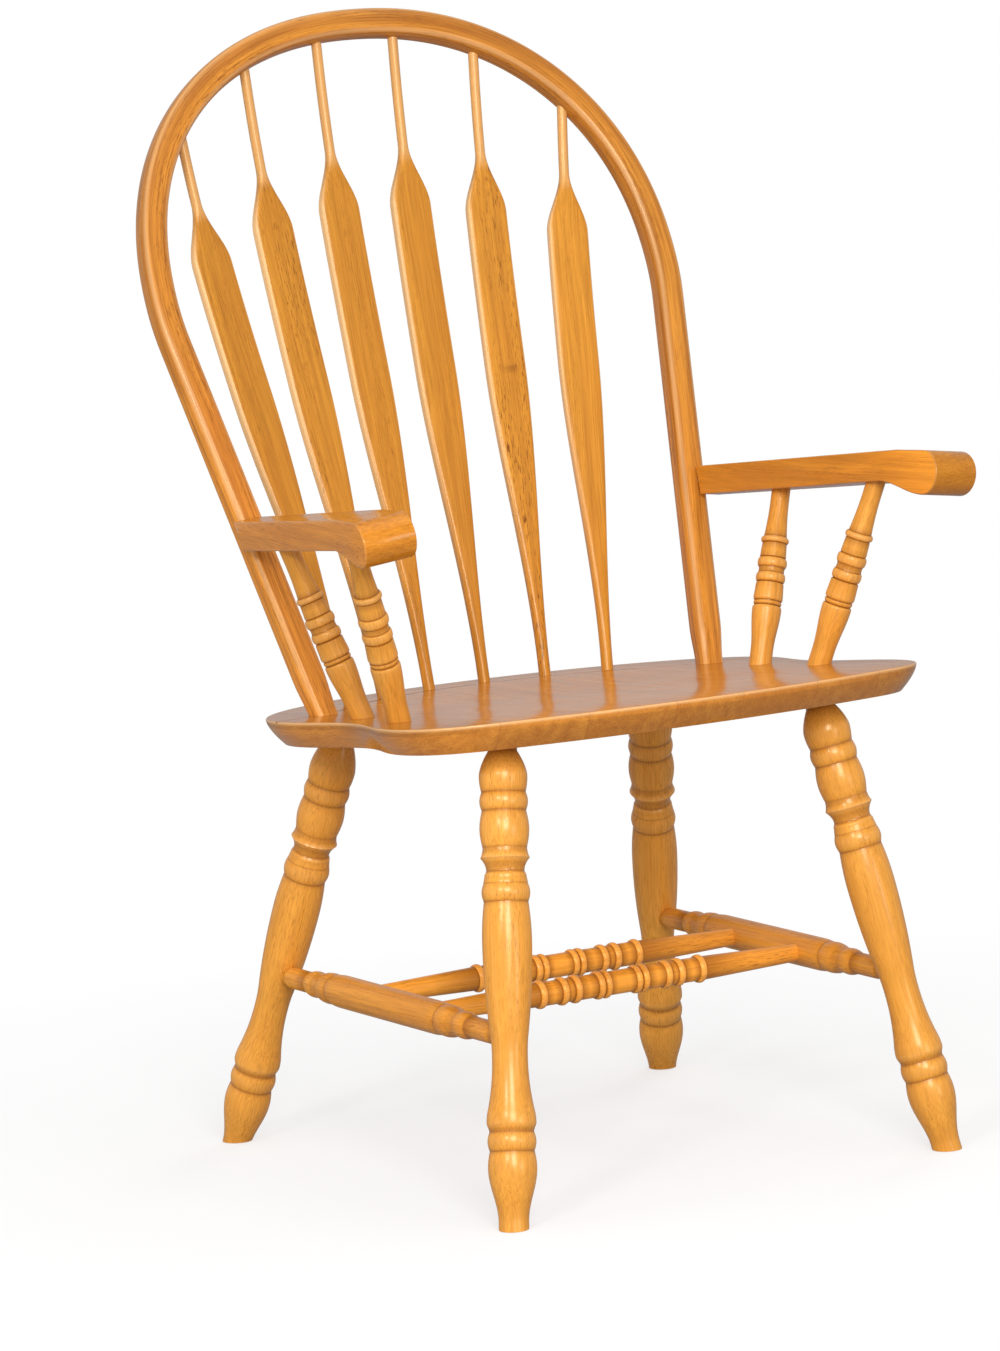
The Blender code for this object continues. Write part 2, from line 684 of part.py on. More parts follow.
# Spindles
class Spindle:
    """One arrow spindle: its axis, its sections and its bores."""

    def __init__(self, number):
        self.step = number - (SPINDLE_COUNT - 1) / 2
        angle = self.step * SPINDLE_ARC_PITCH
        foot_x = SPINDLE_ARC_RADIUS * math.sin(angle)
        foot_y = SPINDLE_ARC_CENTRE + SPINDLE_ARC_RADIUS * math.cos(angle)
        self.foot = seat_top(foot_x, foot_y)
        head_x = self.step * SPINDLE_HEAD_PITCH
        self.chord = bow_point(head_x, bow_crown_rise(head_x)) - self.foot
        self.length = self.chord.length
        self.across = Vector((math.cos(self.step * SPINDLE_FAN), -math.sin(self.step * SPINDLE_FAN), 0))
        self.bulge = self.chord.cross(self.across).normalized() * SPINDLE_BULGE

    def bend(self, share):
        """Share of the bulge and its slope; past either end the axis runs on straight."""
        power = SPINDLE_BEND_POWER
        full = (power / (power + 1)) ** power / (power + 1)
        inside = min(1 - SPINDLE_HEAD_STRAIGHT / self.length, max(0.0, share))
        slope = inside ** (power - 1) * (power - (power + 1) * inside) / full
        return inside ** power * (1 - inside) / full + slope * (share - inside), slope

    def axis(self, distance):
        share = distance / self.length
        return self.foot + self.chord * share + self.bulge * self.bend(share)[0]

    def heading(self, distance):
        return (self.chord + self.bulge * self.bend(distance / self.length)[1]).normalized()

    def section(self, distance, end_radius, share):
        """Ring of the loft: round where share is 0, the full paddle where it is 1."""
        along = self.heading(distance)
        across = (self.across - along * self.across.dot(along)).normalized()
        normal = along.cross(across)
        half_width = taper(share, end_radius, PADDLE_WIDTH / 2)
        half_thickness = taper(share, end_radius, PADDLE_THICKNESS / 2)
        outline = rounded_section(half_width, half_thickness, 2 + 2 * share)
        middle = self.axis(distance)
        return [middle + across * a + normal * b for a, b in outline]

    def mesh(self, name):
        rings = [self.section(-SPINDLE_TENON, SPINDLE_FOOT_RADIUS, 0.0)]
        for i in range(6):
            share = i / 5
            distance = SPINDLE_FOOT_STRAIGHT + SPINDLE_SWELL * share
            rings.append(self.section(distance, SPINDLE_FOOT_RADIUS, share * share * (3 - 2 * share)))
        edge = SPINDLE_SHOULDER - SPINDLE_SHOULDER_DROP * self.step ** 2
        for i in range(5):
            share = i / 4
            left = 1 - share * share * (3 - 2 * share)
            rings.append(self.section(edge + SPINDLE_HEAD_TAPER * share, SPINDLE_NECK_RADIUS, left))
        for distance in (self.length - SPINDLE_HEAD_STRAIGHT, self.length):
            rings.append(self.section(distance, SPINDLE_NECK_RADIUS, 0.0))
        return loft(name, rings)

    def seat_bore(self):
        along = self.heading(0.0)
        return (
            self.foot - along * (SPINDLE_TENON + FIT),
            self.foot + along * SPINDLE_FOOT_STRAIGHT,
            SPINDLE_FOOT_RADIUS,
        )

    def bow_bore(self):
        head = self.axis(self.length)
        along = self.heading(self.length)
        return head + along * FIT, head - along * 2 * BOW_SECTION, SPINDLE_NECK_RADIUS


# Arms
def arm_underside(y):
    """Height of the underside along the middle of the arm's width."""
    return ARM_UNDERSIDE + math.tan(ARM_PITCH) * (ARM_LEVEL_AT - y)


def arm_outline():
    """Side view (y, z) of an arm: underside, drop to the nose, round nose, top and sloped rear."""
    nose_y = ARM_NOSE_TIP + ARM_NOSE_RADIUS
    nose_z = arm_underside(nose_y) + ARM_THICKNESS - ARM_NOSE_DROP - ARM_NOSE_RADIUS
    rear_bottom = ARM_REAR - ARM_THICKNESS * math.tan(BOW_RECLINE)
    points = [(rear_bottom, arm_underside(rear_bottom))]
    for i in range(6):
        t = i / 5
        y = taper(t, ARM_SWEEP_START, nose_y)
        points.append((y, ease(t, arm_underside(ARM_SWEEP_START), nose_z - ARM_NOSE_RADIUS)))
    for i in range(1, 9):
        angle = math.pi * i / 8
        points.append((
            nose_y - ARM_NOSE_RADIUS * math.sin(angle), nose_z - ARM_NOSE_RADIUS * math.cos(angle),
        ))
    for y in (nose_y + ARM_NOSE_RADIUS, ARM_REAR):
        points.append((y, arm_underside(y) + ARM_THICKNESS))
    return points


def arm_middle(y):
    """Middle of the arm's width, and half that width, at y."""
    share = (ARM_REAR - y) / (ARM_REAR - ARM_NOSE_TIP)
    return (
        taper(share, ARM_REAR_MIDDLE, ARM_FRONT_MIDDLE),
        taper(share, ARM_REAR_WIDTH, ARM_FRONT_WIDTH) / 2,
    )


def arm_mesh(name, side):
    """The side view sawn out of a board, tapered in plan and tilted outwards, its nose square."""
    skew = (ARM_FRONT_MIDDLE - ARM_REAR_MIDDLE) / (ARM_REAR - ARM_NOSE_TIP)
    tilt = math.tan(ARM_ROLL)
    rings = []
    for edge in (-1, 1):
        ring = []
        for y, z in arm_outline():
            middle, half = arm_middle(y)
            lean = tilt * (z - arm_underside(y) - ARM_THICKNESS / 2)
            ring.append(Vector((
                side * (middle + edge * half + lean), y + edge * half * skew, z - tilt * edge * half,
            )))
        rings.append(ring)
    return loft(name, rings)


def make_arm(chair, name, side, material):
    arm = chair.add_part(name, arm_mesh(name, side), material)
    rounding = arm.modifiers.new("rounding", "BEVEL")
    rounding.width = ARM_EDGE_ROUND
    rounding.segments = 1
    rounding.limit_method = "ANGLE"
    rounding.angle_limit = SMOOTH_ANGLE
    return arm


# Arm posts
def post_ends(foot, head, side):
    """Foot on the seat and head under the arm, which is given out from the arm's middle."""
    out, y = head
    level = arm_underside(y) - math.tan(ARM_ROLL) * out
    reach = arm_middle(y)[0] + out
    return seat_top(*mirrored(foot, side)), Vector((side * reach, y, level))


def post_stations(length):
    """From the end of the seat tenon up to the end of the arm tenon."""
    stretch = length / POST_PATTERN
    groove = POST_GROOVE_RADIUS
    pattern = [
        (taper, POST_BASE, POST_FOOT_RADIUS),
        (ease, POST_FLARE, POST_SHOULDER_RADIUS),
        (taper, POST_SHOULDER, groove),
        (bead, POST_BAND, groove, POST_RING_RADIUS),
        (bead, POST_BARREL, groove, POST_RING_RADIUS),
        (bead, POST_RING, groove, POST_RING_RADIUS),
        (taper, POST_COVE, groove),
        (bead, POST_RING, groove, POST_RING_RADIUS),
        (taper, POST_DRUM, POST_DRUM_RADIUS),
        (bead, POST_DISC, POST_DRUM_RADIUS, POST_DISC_RADIUS),
        (hollow, POST_NECK, POST_HEAD_RADIUS),
    ]
    rest = POST_PATTERN - sum(row[1] for row in pattern)
    cuts = [(taper, POST_FOOT_TENON, POST_FOOT_RADIUS)]
    cuts += [(shape, run * stretch, *radii) for shape, run, *radii in pattern]
    cuts.append((taper, rest * stretch + POST_HEAD_TENON, POST_HEAD_RADIUS))
    stations = turned_profile(POST_FOOT_RADIUS, cuts)
    return [(distance - POST_FOOT_TENON, radius) for distance, radius in stations]


def make_post(chair, name, ends, material):
    foot, head = ends
    stations = post_stations((head - foot).length)
    return turn(chair, name, stations, place_along(foot, head), ROD_SIDES, material)


def post_bores(ends):
    foot, head = ends
    along = (head - foot).normalized()
    return (
        (foot - along * (POST_FOOT_TENON + FIT), foot + along * POST_BASE / 4, POST_FOOT_RADIUS),
        (head + along * (POST_HEAD_TENON + FIT), head - along * 2 * POST_HEAD_RADIUS, POST_HEAD_RADIUS),
    )


# Arm screws and plugs
def screw_axis(side):
    """Centre of the bow at the arm, and the direction of the screw into the arm."""
    level = arm_underside(ARM_REAR) + ARM_THICKNESS / 2
    rise = (level - bow_point(0.0, 0.0).z) / math.cos(BOW_RECLINE)
    start = bow_point(side * bow_half_width(rise), rise)
    ahead = ARM_REAR - SCREW_LENGTH
    target = Vector((side * arm_middle(ahead)[0], ahead, arm_underside(ahead) + ARM_THICKNESS / 2))
    return start, (target - start).normalized()


def screw_stations():
    return [
        (0.0, SCREW_HEAD_RADIUS),
        (SCREW_HEAD_HEIGHT / 3, SCREW_HEAD_RADIUS),
        (SCREW_HEAD_HEIGHT, SCREW_RADIUS),
        (SCREW_LENGTH - 3 * SCREW_RADIUS, SCREW_RADIUS),
        (SCREW_LENGTH, SCREW_RADIUS / 4),
    ]


def plug_stations():
    return [
        (0.0, PLUG_RADIUS * 0.8),
        (PLUG_PROUD, PLUG_RADIUS),
        (PLUG_HEIGHT, PLUG_RADIUS),
    ]


def screw_places(side):
    """Where the plug and the screw start, along the screw's axis, and that direction."""
    middle, along = screw_axis(side)
    back_normal = bow_place().to_3x3() @ Vector((0, 0, 1))
    to_back = BOW_SECTION / abs(along.dot(back_normal))
    plug_start = middle - along * (to_back + PLUG_PROUD)
    return plug_start, plug_start + along * (PLUG_HEIGHT + FIT), along


def make_screw(chair, side, hand, steel, wood):
    plug_start, screw_start, along = screw_places(side)
    turn(
        chair, "screw_plug_" + hand, plug_stations(), place_along(plug_start, screw_start),
        ROD_SIDES, wood,
    )
    turn(
        chair, "arm_screw_" + hand, screw_stations(), place_along(screw_start, screw_start + along),
        ROD_SIDES, steel,
    )


def screw_bores(side):
    """The plug's counterbore and the screw's hole, which starts in the counterbore's floor."""
    plug_start, screw_start, along = screw_places(side)
    floor = screw_start + along * (SCREW_HEAD_HEIGHT + FIT)
    counterbore = (plug_start - along * PLUG_HEIGHT, floor, PLUG_RADIUS)
    shank = (floor - along * SCREW_HEAD_HEIGHT, screw_start + along * (SCREW_LENGTH + FIT), SCREW_RADIUS)
    return counterbore, shank


# Assembly
def stand_on_origin(chair):
    """Slide the chair so that the bottom centre of its box is the origin."""
    bpy.context.view_layer.update()
    depsgraph = bpy.context.evaluated_depsgraph_get()
    depths = []
    for part in chair.parts.objects:
        if part.type == "MESH":
            solid = part.evaluated_get(depsgraph)
            depths += [(solid.matrix_world @ vertex.co).y for vertex in solid.data.vertices]
    chair.root.location.y = -(min(depths) + max(depths)) / 2


def main():
    for leftover in list(bpy.data.objects):
        bpy.data.objects.remove(leftover)
    chair = Chair()
    seat_wood = make_material("seat_wood", (0.52, 0.26, 0.09), 0.35)
    leg_wood = make_material("leg_wood", (0.74, 0.38, 0.085), 0.4)
    stretcher_wood = make_material("stretcher_wood", (0.70, 0.35, 0.075), 0.4)
    bow_wood = make_material("bow_wood", (0.68, 0.32, 0.075), 0.35)
    spindle_wood = make_material("spindle_wood", (0.70, 0.33, 0.06), 0.4)
    arm_wood = make_material("arm_wood", (0.58, 0.26, 0.05), 0.35)
    post_wood = make_material("post_wood", (0.74, 0.37, 0.08), 0.4)
    plug_wood = make_material("plug_wood", (0.62, 0.28, 0.06), 0.4)
    screw_steel = make_material("screw_steel", (0.6, 0.6, 0.6), 0.3, 1.0)

    seat = make_seat(chair, seat_wood)
    bow = chair.add_part("bow", bow_mesh("bow", 0.0), bow_wood, bow_place())
    bow_space = chair.add_cutter("bow_space", bow_mesh("bow_space", FIT), bow_place())
    floor = floor_cutter(chair)
    seat_holes = []
    bow_holes = []

    for number in range(SPINDLE_COUNT):
        name = "spindle_%d" % (number + 1)
        spindle = Spindle(number)
        chair.add_part(name, spindle.mesh(name), spindle_wood)
        seat_holes.append(spindle.seat_bore())
        bow_holes.append(spindle.bow_bore())

    cross_lines = {name: [] for name in CROSS_STRETCHERS}
    for side, hand in ((1, "left"), (-1, "right")):
        front_axis = leg_axis(FRONT_FOOT, FRONT_LEG_HEAD, side)
        rear_axis = leg_axis(REAR_FOOT, REAR_LEG_HEAD, side)
        front_leg = make_leg(chair, "leg_front_" + hand, front_axis, LEG_FOOT, LEG_NECK, leg_wood)
        rear_leg = make_leg(
            chair, "leg_rear_" + hand, rear_axis, LEG_FOOT - REAR_FOOT_CUT, LEG_NECK + REAR_LEG_DROP,
            leg_wood,
        )
        seat_holes += [leg_bore(front_axis), leg_bore(rear_axis)]

        front = front_axis[0] + (front_axis[1] - front_axis[0]).normalized() * SIDE_STRETCHER_FRONT
        rear = rear_axis[0] + (rear_axis[1] - rear_axis[0]).normalized() * SIDE_STRETCHER_REAR
        stations = side_stretcher_stations((rear - front).length)
        stretcher = rod_between(chair, "side_stretcher_" + hand, front, rear, stations, stretcher_wood)
        for leg, start, end in ((front_leg, front, rear), (rear_leg, rear, front)):
            outside = 2 * LEG_RING_RADIUS
            hole = rod_bore(start, end, outside, SIDE_STRETCHER_TENON_RADIUS)
            cut(leg, bores(chair, leg.name + "_bore", [hole]))
            cut(leg, floor)
        cross_holes = []
        for name, y in CROSS_STRETCHERS.items():
            point = front + (rear - front) * (y - front.y) / (rear.y - front.y)
            cross_lines[name].append(point)
            middle = Vector((0.0, point.y, point.z))
            outside = 2 * SIDE_STRETCHER_RADIUS
            cross_holes.append(rod_bore(point, middle, outside, CROSS_STRETCHER_TENON_RADIUS))
        cut(stretcher, bores(chair, stretcher.name + "_bores", cross_holes))

        arm = make_arm(chair, "arm_" + hand, side, arm_wood)
        arm_holes = []
        front_post_foot = (SEAT_FRONT_HALF_WIDTH - FRONT_POST_INSET, FRONT_POST_BACK)
        rear_post_foot = (SEAT_WAIST_HALF_WIDTH - REAR_POST_INSET, REAR_POST_BACK)
        posts = (("front", front_post_foot, FRONT_POST_HEAD), ("rear", rear_post_foot, REAR_POST_HEAD))
        for place, foot, head in posts:
            ends = post_ends(foot, head, side)
            make_post(chair, "arm_post_%s_%s" % (place, hand), ends, post_wood)
            seat_hole, arm_hole = post_bores(ends)
            seat_holes.append(seat_hole)
            arm_holes.append(arm_hole)
        make_screw(chair, side, hand, screw_steel, plug_wood)
        counterbore, shank = screw_bores(side)
        cut(bow, bores(chair, "counterbore_" + hand, [counterbore]))
        cut(bow, bores(chair, "screw_hole_" + hand, [shank]))
        cut(arm, bow_space)
        cut(arm, bores(chair, arm.name + "_bores", arm_holes + [shank]))

    for name, (left, right) in cross_lines.items():
        stations = cross_stretcher_stations((right - left).length)
        rod_between(chair, name, left, right, stations, stretcher_wood)

    cut(bow, bores(chair, "bow_bores", bow_holes))
    cut(seat, bow_space)
    cut(seat, bores(chair, "seat_bores", seat_holes))
    stand_on_origin(chair)


main()
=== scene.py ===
"""Looks of the bow-back dining armchair: each piece rebuilt finely, in lacquered honey-coloured wood.

Metres, +Z up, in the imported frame: +Y points to the back of the chair and +X to the sitter's left.
Sizes along Y are given from the middle of the four feet, and SLIDE carries them into the frame.
"""

import json
import math

import bmesh
import bpy
import numpy as np
from mathutils import Matrix, Vector


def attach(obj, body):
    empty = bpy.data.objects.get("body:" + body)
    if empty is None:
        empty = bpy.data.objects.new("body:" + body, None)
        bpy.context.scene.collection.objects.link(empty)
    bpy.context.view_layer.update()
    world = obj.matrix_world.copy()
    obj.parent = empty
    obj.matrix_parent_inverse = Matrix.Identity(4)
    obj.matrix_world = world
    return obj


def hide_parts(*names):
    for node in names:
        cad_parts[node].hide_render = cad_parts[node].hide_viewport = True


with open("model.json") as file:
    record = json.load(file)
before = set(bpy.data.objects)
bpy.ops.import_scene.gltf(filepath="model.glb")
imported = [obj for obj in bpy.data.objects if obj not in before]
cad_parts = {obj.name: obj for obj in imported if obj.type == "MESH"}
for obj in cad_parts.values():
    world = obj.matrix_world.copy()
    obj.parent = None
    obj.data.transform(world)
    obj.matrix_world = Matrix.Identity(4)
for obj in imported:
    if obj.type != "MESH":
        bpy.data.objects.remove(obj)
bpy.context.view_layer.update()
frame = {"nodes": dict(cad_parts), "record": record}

HANDS = {"left": 1, "right": -1}  # the side of X that each hand of the sitter is on

# Seat
SEAT_HEIGHT = 0.4191
SEAT_SLOPE = math.radians(3.63)
SEAT_THICKNESS = 0.0242
SEAT_FRONT = 0.270
SEAT_BACK = 0.240
SEAT_REAR_HALF_WIDTH = 0.256
SEAT_REAR_WIDEST = 0.055
SEAT_WAIST_HALF_WIDTH = 0.241
SEAT_WAIST = -0.045
SEAT_FRONT_HALF_WIDTH = 0.262
SEAT_FRONT_WIDEST = -0.160
SEAT_CORNER_WIDTH = 0.056
SEAT_FRONT_SWEEP = 0.032
SEAT_UNDERCUT = 0.0155
SEAT_EDGE_ROUND = 0.0014
SEAT_EDGE_POWER = 1.5
SEAT_DISH = 0.005
SEAT_DISH_REACH = 0.72
SEAT_MIDDLE = -0.020
SEAT_SEAMS = (-0.196, -0.118, -0.036, 0.031, 0.112, 0.187)  # glue lines between the boards
SEAT_SEAM_LINE = (0.0002, 0.0006)  # half widths of a seam's dark middle and of its fade
SEAT_RIM_TONE = 0.92  # painted reflection: the top is painted paler in the middle than at both ends
SEAT_TOP_SHEEN = 0.30
SEAT_TOP_HALF_WIDTH = 0.24
SEAT_TOP_FADE = 0.10
SEAT_TOP_SLACK = 0.001  # a point this little below the dish still counts as the top
SEAT_END_LIGHT = 0.22  # painted light: the edge is painted paler at its right end
SEAT_END_START = 0.17
SEAT_END_FADE = 0.06
SEAT_RIM_DEPTH = 0.0002  # points below this are in the groove or on the rim's round
SEAT_LOW_RIM_WEAR = 0.4
GROOVE_RADIUS = 0.0013
GROOVE_SETBACK = 0.0157
GROOVE_SIDE = 0.066
GROOVE_TURN = 0.150

# Legs
FRONT_FOOT = (0.2223, -0.2568)
REAR_FOOT = (0.2314, 0.2568)
FRONT_LEG_HEAD = (0.1615, -0.179)
REAR_LEG_HEAD = (0.1628, 0.1225)
LEG_FOOT = 0.0665
REAR_FOOT_CUT = 0.0092
LEG_NECK = 0.0420
REAR_LEG_DROP = 0.0067
LEG_TIP_RADIUS = 0.0131
LEG_FOOT_RADIUS = 0.0212
LEG_GROOVE_RADIUS = 0.0193
LEG_RING_RADIUS = 0.0211
LEG_LIP_RADIUS = 0.0215
LEG_CREST_RADIUS = 0.0203
LEG_ANKLE_RADIUS = 0.0155
LEG_CALF_RADIUS = 0.0164
LEG_BODY_RADIUS = 0.0216
LEG_STEP_RADIUS = 0.0183
LEG_COVE_RADIUS = 0.0166
LEG_TENON_RADIUS = 0.0128
LEG_TENON = 0.006
FOOT_TRIM = 0.009
LEG_FOOT_FLARE = 0.046
LEG_FOOT_SHOULDER = 0.0143
LEG_ANKLE_RING = 0.0167
LEG_ANKLE_LIP = 0.0079
LEG_CREST = 0.0105
LEG_ANKLE_HOLLOW = 0.044
LEG_ANKLE = 0.004
LEG_CALF = 0.016
LEG_BODY_END = 0.033
LEG_RING = 0.016
LEG_STEP = 0.0065
LEG_COVE_FALL = 0.0045
LEG_COVE_RISE = 0.011
LEG_COVE_EDGE = 0.009
LEG_BARREL = 0.032
LEG_BULB = 0.014
DOME_POWER = 1.6

# Stretchers
SIDE_ROD_FRONT = 0.1645
SIDE_ROD_REAR = 0.1725
SIDE_ROD_TENON_RADIUS = 0.0085
SIDE_ROD_NECK_RADIUS = 0.0099
SIDE_ROD_BEAD_RADIUS = 0.0121
SIDE_ROD_WAIST_RADIUS = 0.0115
SIDE_ROD_RING_RADIUS = 0.0143
SIDE_ROD_GROOVE_RADIUS = 0.0136
SIDE_ROD_RADIUS = 0.0150
SIDE_ROD_NECK = 0.064
SIDE_ROD_BEAD = 0.018
SIDE_ROD_RISE = 0.014
SIDE_ROD_RING = 0.016
SIDE_ROD_SWELL = 0.015
CROSS_STRETCHERS = {"cross_stretcher_front": -0.074, "cross_stretcher_rear": 0.040}
CROSS_ROD_TENON_RADIUS = 0.0082
CROSS_ROD_LIGHT = 1.30  # painted light: paler than the side stretchers, against the seat's shade on them
CROSS_ROD_RADIUS = 0.0109
CROSS_ROD_BEAD_RADIUS = 0.0130
CROSS_ROD_BEAD_LENGTH = 0.0068
CROSS_ROD_BEADS = (0.0830, 0.0605, 0.0470, 0.0230, 0.0162)
TENON_SHORT = 0.005
SCORE_WIDTH = 0.0007  # thin lines scored beside beads
SCORE_DEPTH = 0.0007

# Bow
BOW_FOOT = 0.0760
BOW_RECLINE = math.radians(21.8)
BOW_FOOT_HALF_WIDTH = 0.203
BOW_HALF_WIDTH = 0.2640
BOW_STRAIGHT = 0.360
BOW_SPRING = 0.4010
BOW_CROWN = 0.2558
BOW_CROWN_POWER = 2.17
BOW_SECTION = 0.0132
BOW_SECTION_POWER = 3.2  # a little squarer than the solid
BOW_FACING_LIGHT = 0.09  # painted light: faces that look to the chair's left are paler
BOW_LOW_LIGHT = 0.12  # and painted light makes the bow paler low down
BOW_LOW = 0.12
BOW_LOW_FADE = 0.25
BOW_RIGHT_LIGHT = 0.26  # painted light, more so on the chair's right
BOW_RIGHT_TOP = 0.40
BOW_RIGHT_FADE = 0.12
BOW_FOOT_TAPER = 0.86
BOW_TAPER_LENGTH = 0.037
BOW_TENON = 0.006

# Spindles
SPINDLE_COUNT = 6
SPINDLE_ARC_RADIUS = 0.2197
SPINDLE_ARC_CENTRE = -0.020
SPINDLE_ARC_PITCH = math.radians(15.4)
SPINDLE_HEAD_PITCH = 0.0815
SPINDLE_FOOT_RADIUS = 0.0056
SPINDLE_NECK_RADIUS = 0.0048
SPINDLE_FOOT_STRAIGHT = 0.020
SPINDLE_HEAD_STRAIGHT = 0.032
SPINDLE_SWELL = 0.280
SPINDLE_SHOULDER = 0.4573
SPINDLE_SHOULDER_DROP = 0.0053
SPINDLE_HEAD_TAPER = 0.056
SPINDLE_BULGE = 0.0135
SPINDLE_BEND_POWER = 2.3
SPINDLE_TENON = 0.004
SPINDLE_FAN = math.radians(2.4)
SPINDLE_NECK_HIGHLIGHT = 0.42  # painted highlight: the necks are as pale as the paddles' sides
SPINDLE_NECK_FADE = 5.0  # how fast that ends where the paddle begins
PADDLE_WIDTH = 0.040
PADDLE_THICKNESS = 0.012
PADDLE_POWER = 5.0  # squareness of the paddle's section
PADDLE_HIGHLIGHT_START = 0.90  # share of the half width where the painted highlight on its side starts
PADDLE_HIGHLIGHT_RUN = 0.06
KNOT_SPINDLE = 4  # one spindle has a small knot
KNOT_PLACE = (0.003, 0.293)  # across and along the spindle
KNOT_SIZE = (0.007, 0.0030)
KNOT_DARK = 1.2
# Tone and pores of each spindle, from the sitter's right
SPINDLE_TONES = ((0.94, 0.5), (0.97, 1.4), (0.98, 0.6), (0.99, 0.4), (1.06, 1.5), (1.08, 0.4))

# Arms and posts
ARM_UNDERSIDE = 0.5745
ARM_LEVEL_AT = 0.020
ARM_PITCH = math.radians(4.86)
ARM_ROLL = math.radians(7.69)
ARM_THICKNESS = 0.0268
ARM_NOSE_RADIUS = 0.0198
ARM_NOSE_TIP = -0.233
ARM_NOSE_DROP = 0.0025
ARM_SWEEP_START = -0.150
ARM_REAR_MIDDLE = 0.2405
ARM_REAR = 0.1295
ARM_OVERHANG = 0.0252
ARM_FRONT_MIDDLE = SEAT_FRONT_HALF_WIDTH + ARM_OVERHANG
ARM_REAR_WIDTH = 0.022
ARM_FRONT_WIDTH = 0.0470
ARM_EDGE_ROUND = 0.0012
ARM_LAYERS = 0.25  # the growth rings lie flat, so they change less across the arm
ARM_NOSE_START = -0.120  # the wood's tone, and painted light on the inner face, change from here to the nose
ARM_NOSE_RUN = 0.080
ARM_NOSE_RISE = {"left": -0.12, "right": 0.06}
# painted light: the inner face is paler towards the nose
ARM_INNER_LIGHT = 0.44
ARM_OUTER_LIGHT = 1.32  # painted light: the outer faces are paler all along
REAR_POST_INSET = 0.0338  # feet in from the seat's sides
FRONT_POST_INSET = 0.0455
REAR_POST_FOOT = (SEAT_WAIST_HALF_WIDTH - REAR_POST_INSET, -0.0085)
REAR_POST_HEAD = (0.0016, 0.0177)  # out from the arm's middle, and along the chair
FRONT_POST_FOOT = (SEAT_FRONT_HALF_WIDTH - FRONT_POST_INSET, -0.0957)
FRONT_POST_HEAD = (-0.0068, -0.1290)
RIGHT_POST_TONE = 0.91  # the right arm's posts are of darker wood
POST_FOOT_RADIUS = 0.0104
POST_SHOULDER_RADIUS = 0.0135
POST_GROOVE_RADIUS = 0.0121
POST_RING_RADIUS = 0.0136
POST_DRUM_RADIUS = 0.0113
POST_DISC_RADIUS = 0.0129
POST_HEAD_RADIUS = 0.0086
POST_TENON = 0.005
POST_PATTERN = 0.170  # length that the cuts below are for: each post stretches them
POST_BASE = 0.026
POST_FLARE = 0.027
POST_SHOULDER = 0.003
POST_BAND = 0.004
POST_BARREL = 0.019
POST_RING = 0.0085
POST_COVE = 0.006
POST_DRUM = 0.015
POST_DISC = 0.006
POST_NECK = 0.036

# Screws and plugs
SCREW_LENGTH = 0.046
PLUG_RADIUS = 0.0055
PLUG_HEIGHT = 0.0065
PLUG_PROUD = 0.0012
PLUG_TOP_SHARE = 0.8  # of its radius, at the top

# Woods: light and dark colour, pores, figure, roughness, gloss, and wear of the edges with painted edge
# highlights
WOODS = {
    "seat_wood": ((0.56, 0.216, 0.030), (0.36, 0.114, 0.014), 0.50, 0.70, 0.19, 0.60, 0.50),
    "leg_wood": ((0.83, 0.368, 0.053), (0.59, 0.220, 0.027), 0.55, 0.42, 0.28, 0.55, 0.18),
    "stretcher_wood": ((0.83, 0.345, 0.043), (0.54, 0.190, 0.020), 0.60, 0.65, 0.30, 0.40, 0.14),
    "bow_wood": ((0.66, 0.262, 0.034), (0.28, 0.084, 0.011), 0.70, 0.90, 0.27, 0.45, 0.35),
    "spindle_wood": ((0.63, 0.268, 0.029), (0.38, 0.138, 0.014), 0.80, 0.60, 0.28, 0.45, 0.85),
    "arm_wood": ((0.63, 0.238, 0.021), (0.38, 0.122, 0.010), 0.45, 0.55, 0.18, 0.45, 0.12),
    "post_wood": ((0.82, 0.372, 0.058), (0.53, 0.204, 0.029), 0.55, 0.60, 0.30, 0.40, 0.16),
    "plug_wood": ((0.60, 0.230, 0.030), (0.44, 0.150, 0.018), 0.50, 0.50, 0.32, 0.40, 0.35),
}
# Noise in the wood: waves a metre across and along the grain, detail, roughness and the range kept
CLOUDS = (16.0, 5.0, 3.0, 0.6, 0.32, 0.68)
BANDS = (130.0, 4.0, 3.0, 0.6, 0.38, 0.66)
LINES = (430.0, 7.0, 2.0, 0.6, 0.52, 0.68)
PORES = (1050.0, 100.0, 1.0, 0.5, 0.57, 0.68)
PORE_PATCHES = (60.0, 6.0, 2.0, 0.5, 0.38, 0.66)
FIBRES = (850.0, 18.0, 2.0, 0.5)
FIBRE_RANGE = (0.3, 0.7)
DRIFT = (9.0, 9.0, 3.0)  # waves of the grain's own wander
WANDER = (0.012, 0.012, 0.0)
# Pieces, and the boards of the seat, come from places in the tree this far apart
GRAIN_STEP = (0.37, 0.53, 1.91)
BOARD_STEP = (0.71, 0.43, 1.37)
# Colours over the light or the dark one, and how far each layer covers what is under it
WARM_SHARES = (0.80, 0.68, 0.52)
DEEP_SHARES = (0.50, 0.40, 0.35)  # pores, grooves, seams, and dirt with painted shade by the seat's groove
PALE_WEAR_AND_HIGHLIGHT = (1.0, 0.68, 0.36)  # worn edges, and painted highlights on edges, turn this way
PALE_AMOUNT = 0.7
CLOUD_AMOUNT = 0.6
LINE_AMOUNT = 0.7
FIBRE_SHADE = (0.88, 1.10)
GROOVE_AMOUNT = 0.75
SEAM_AMOUNT = 0.3
# dirt and painted shade along the seat's scribed groove
DIRT_AND_SHADE_AMOUNT = 0.7
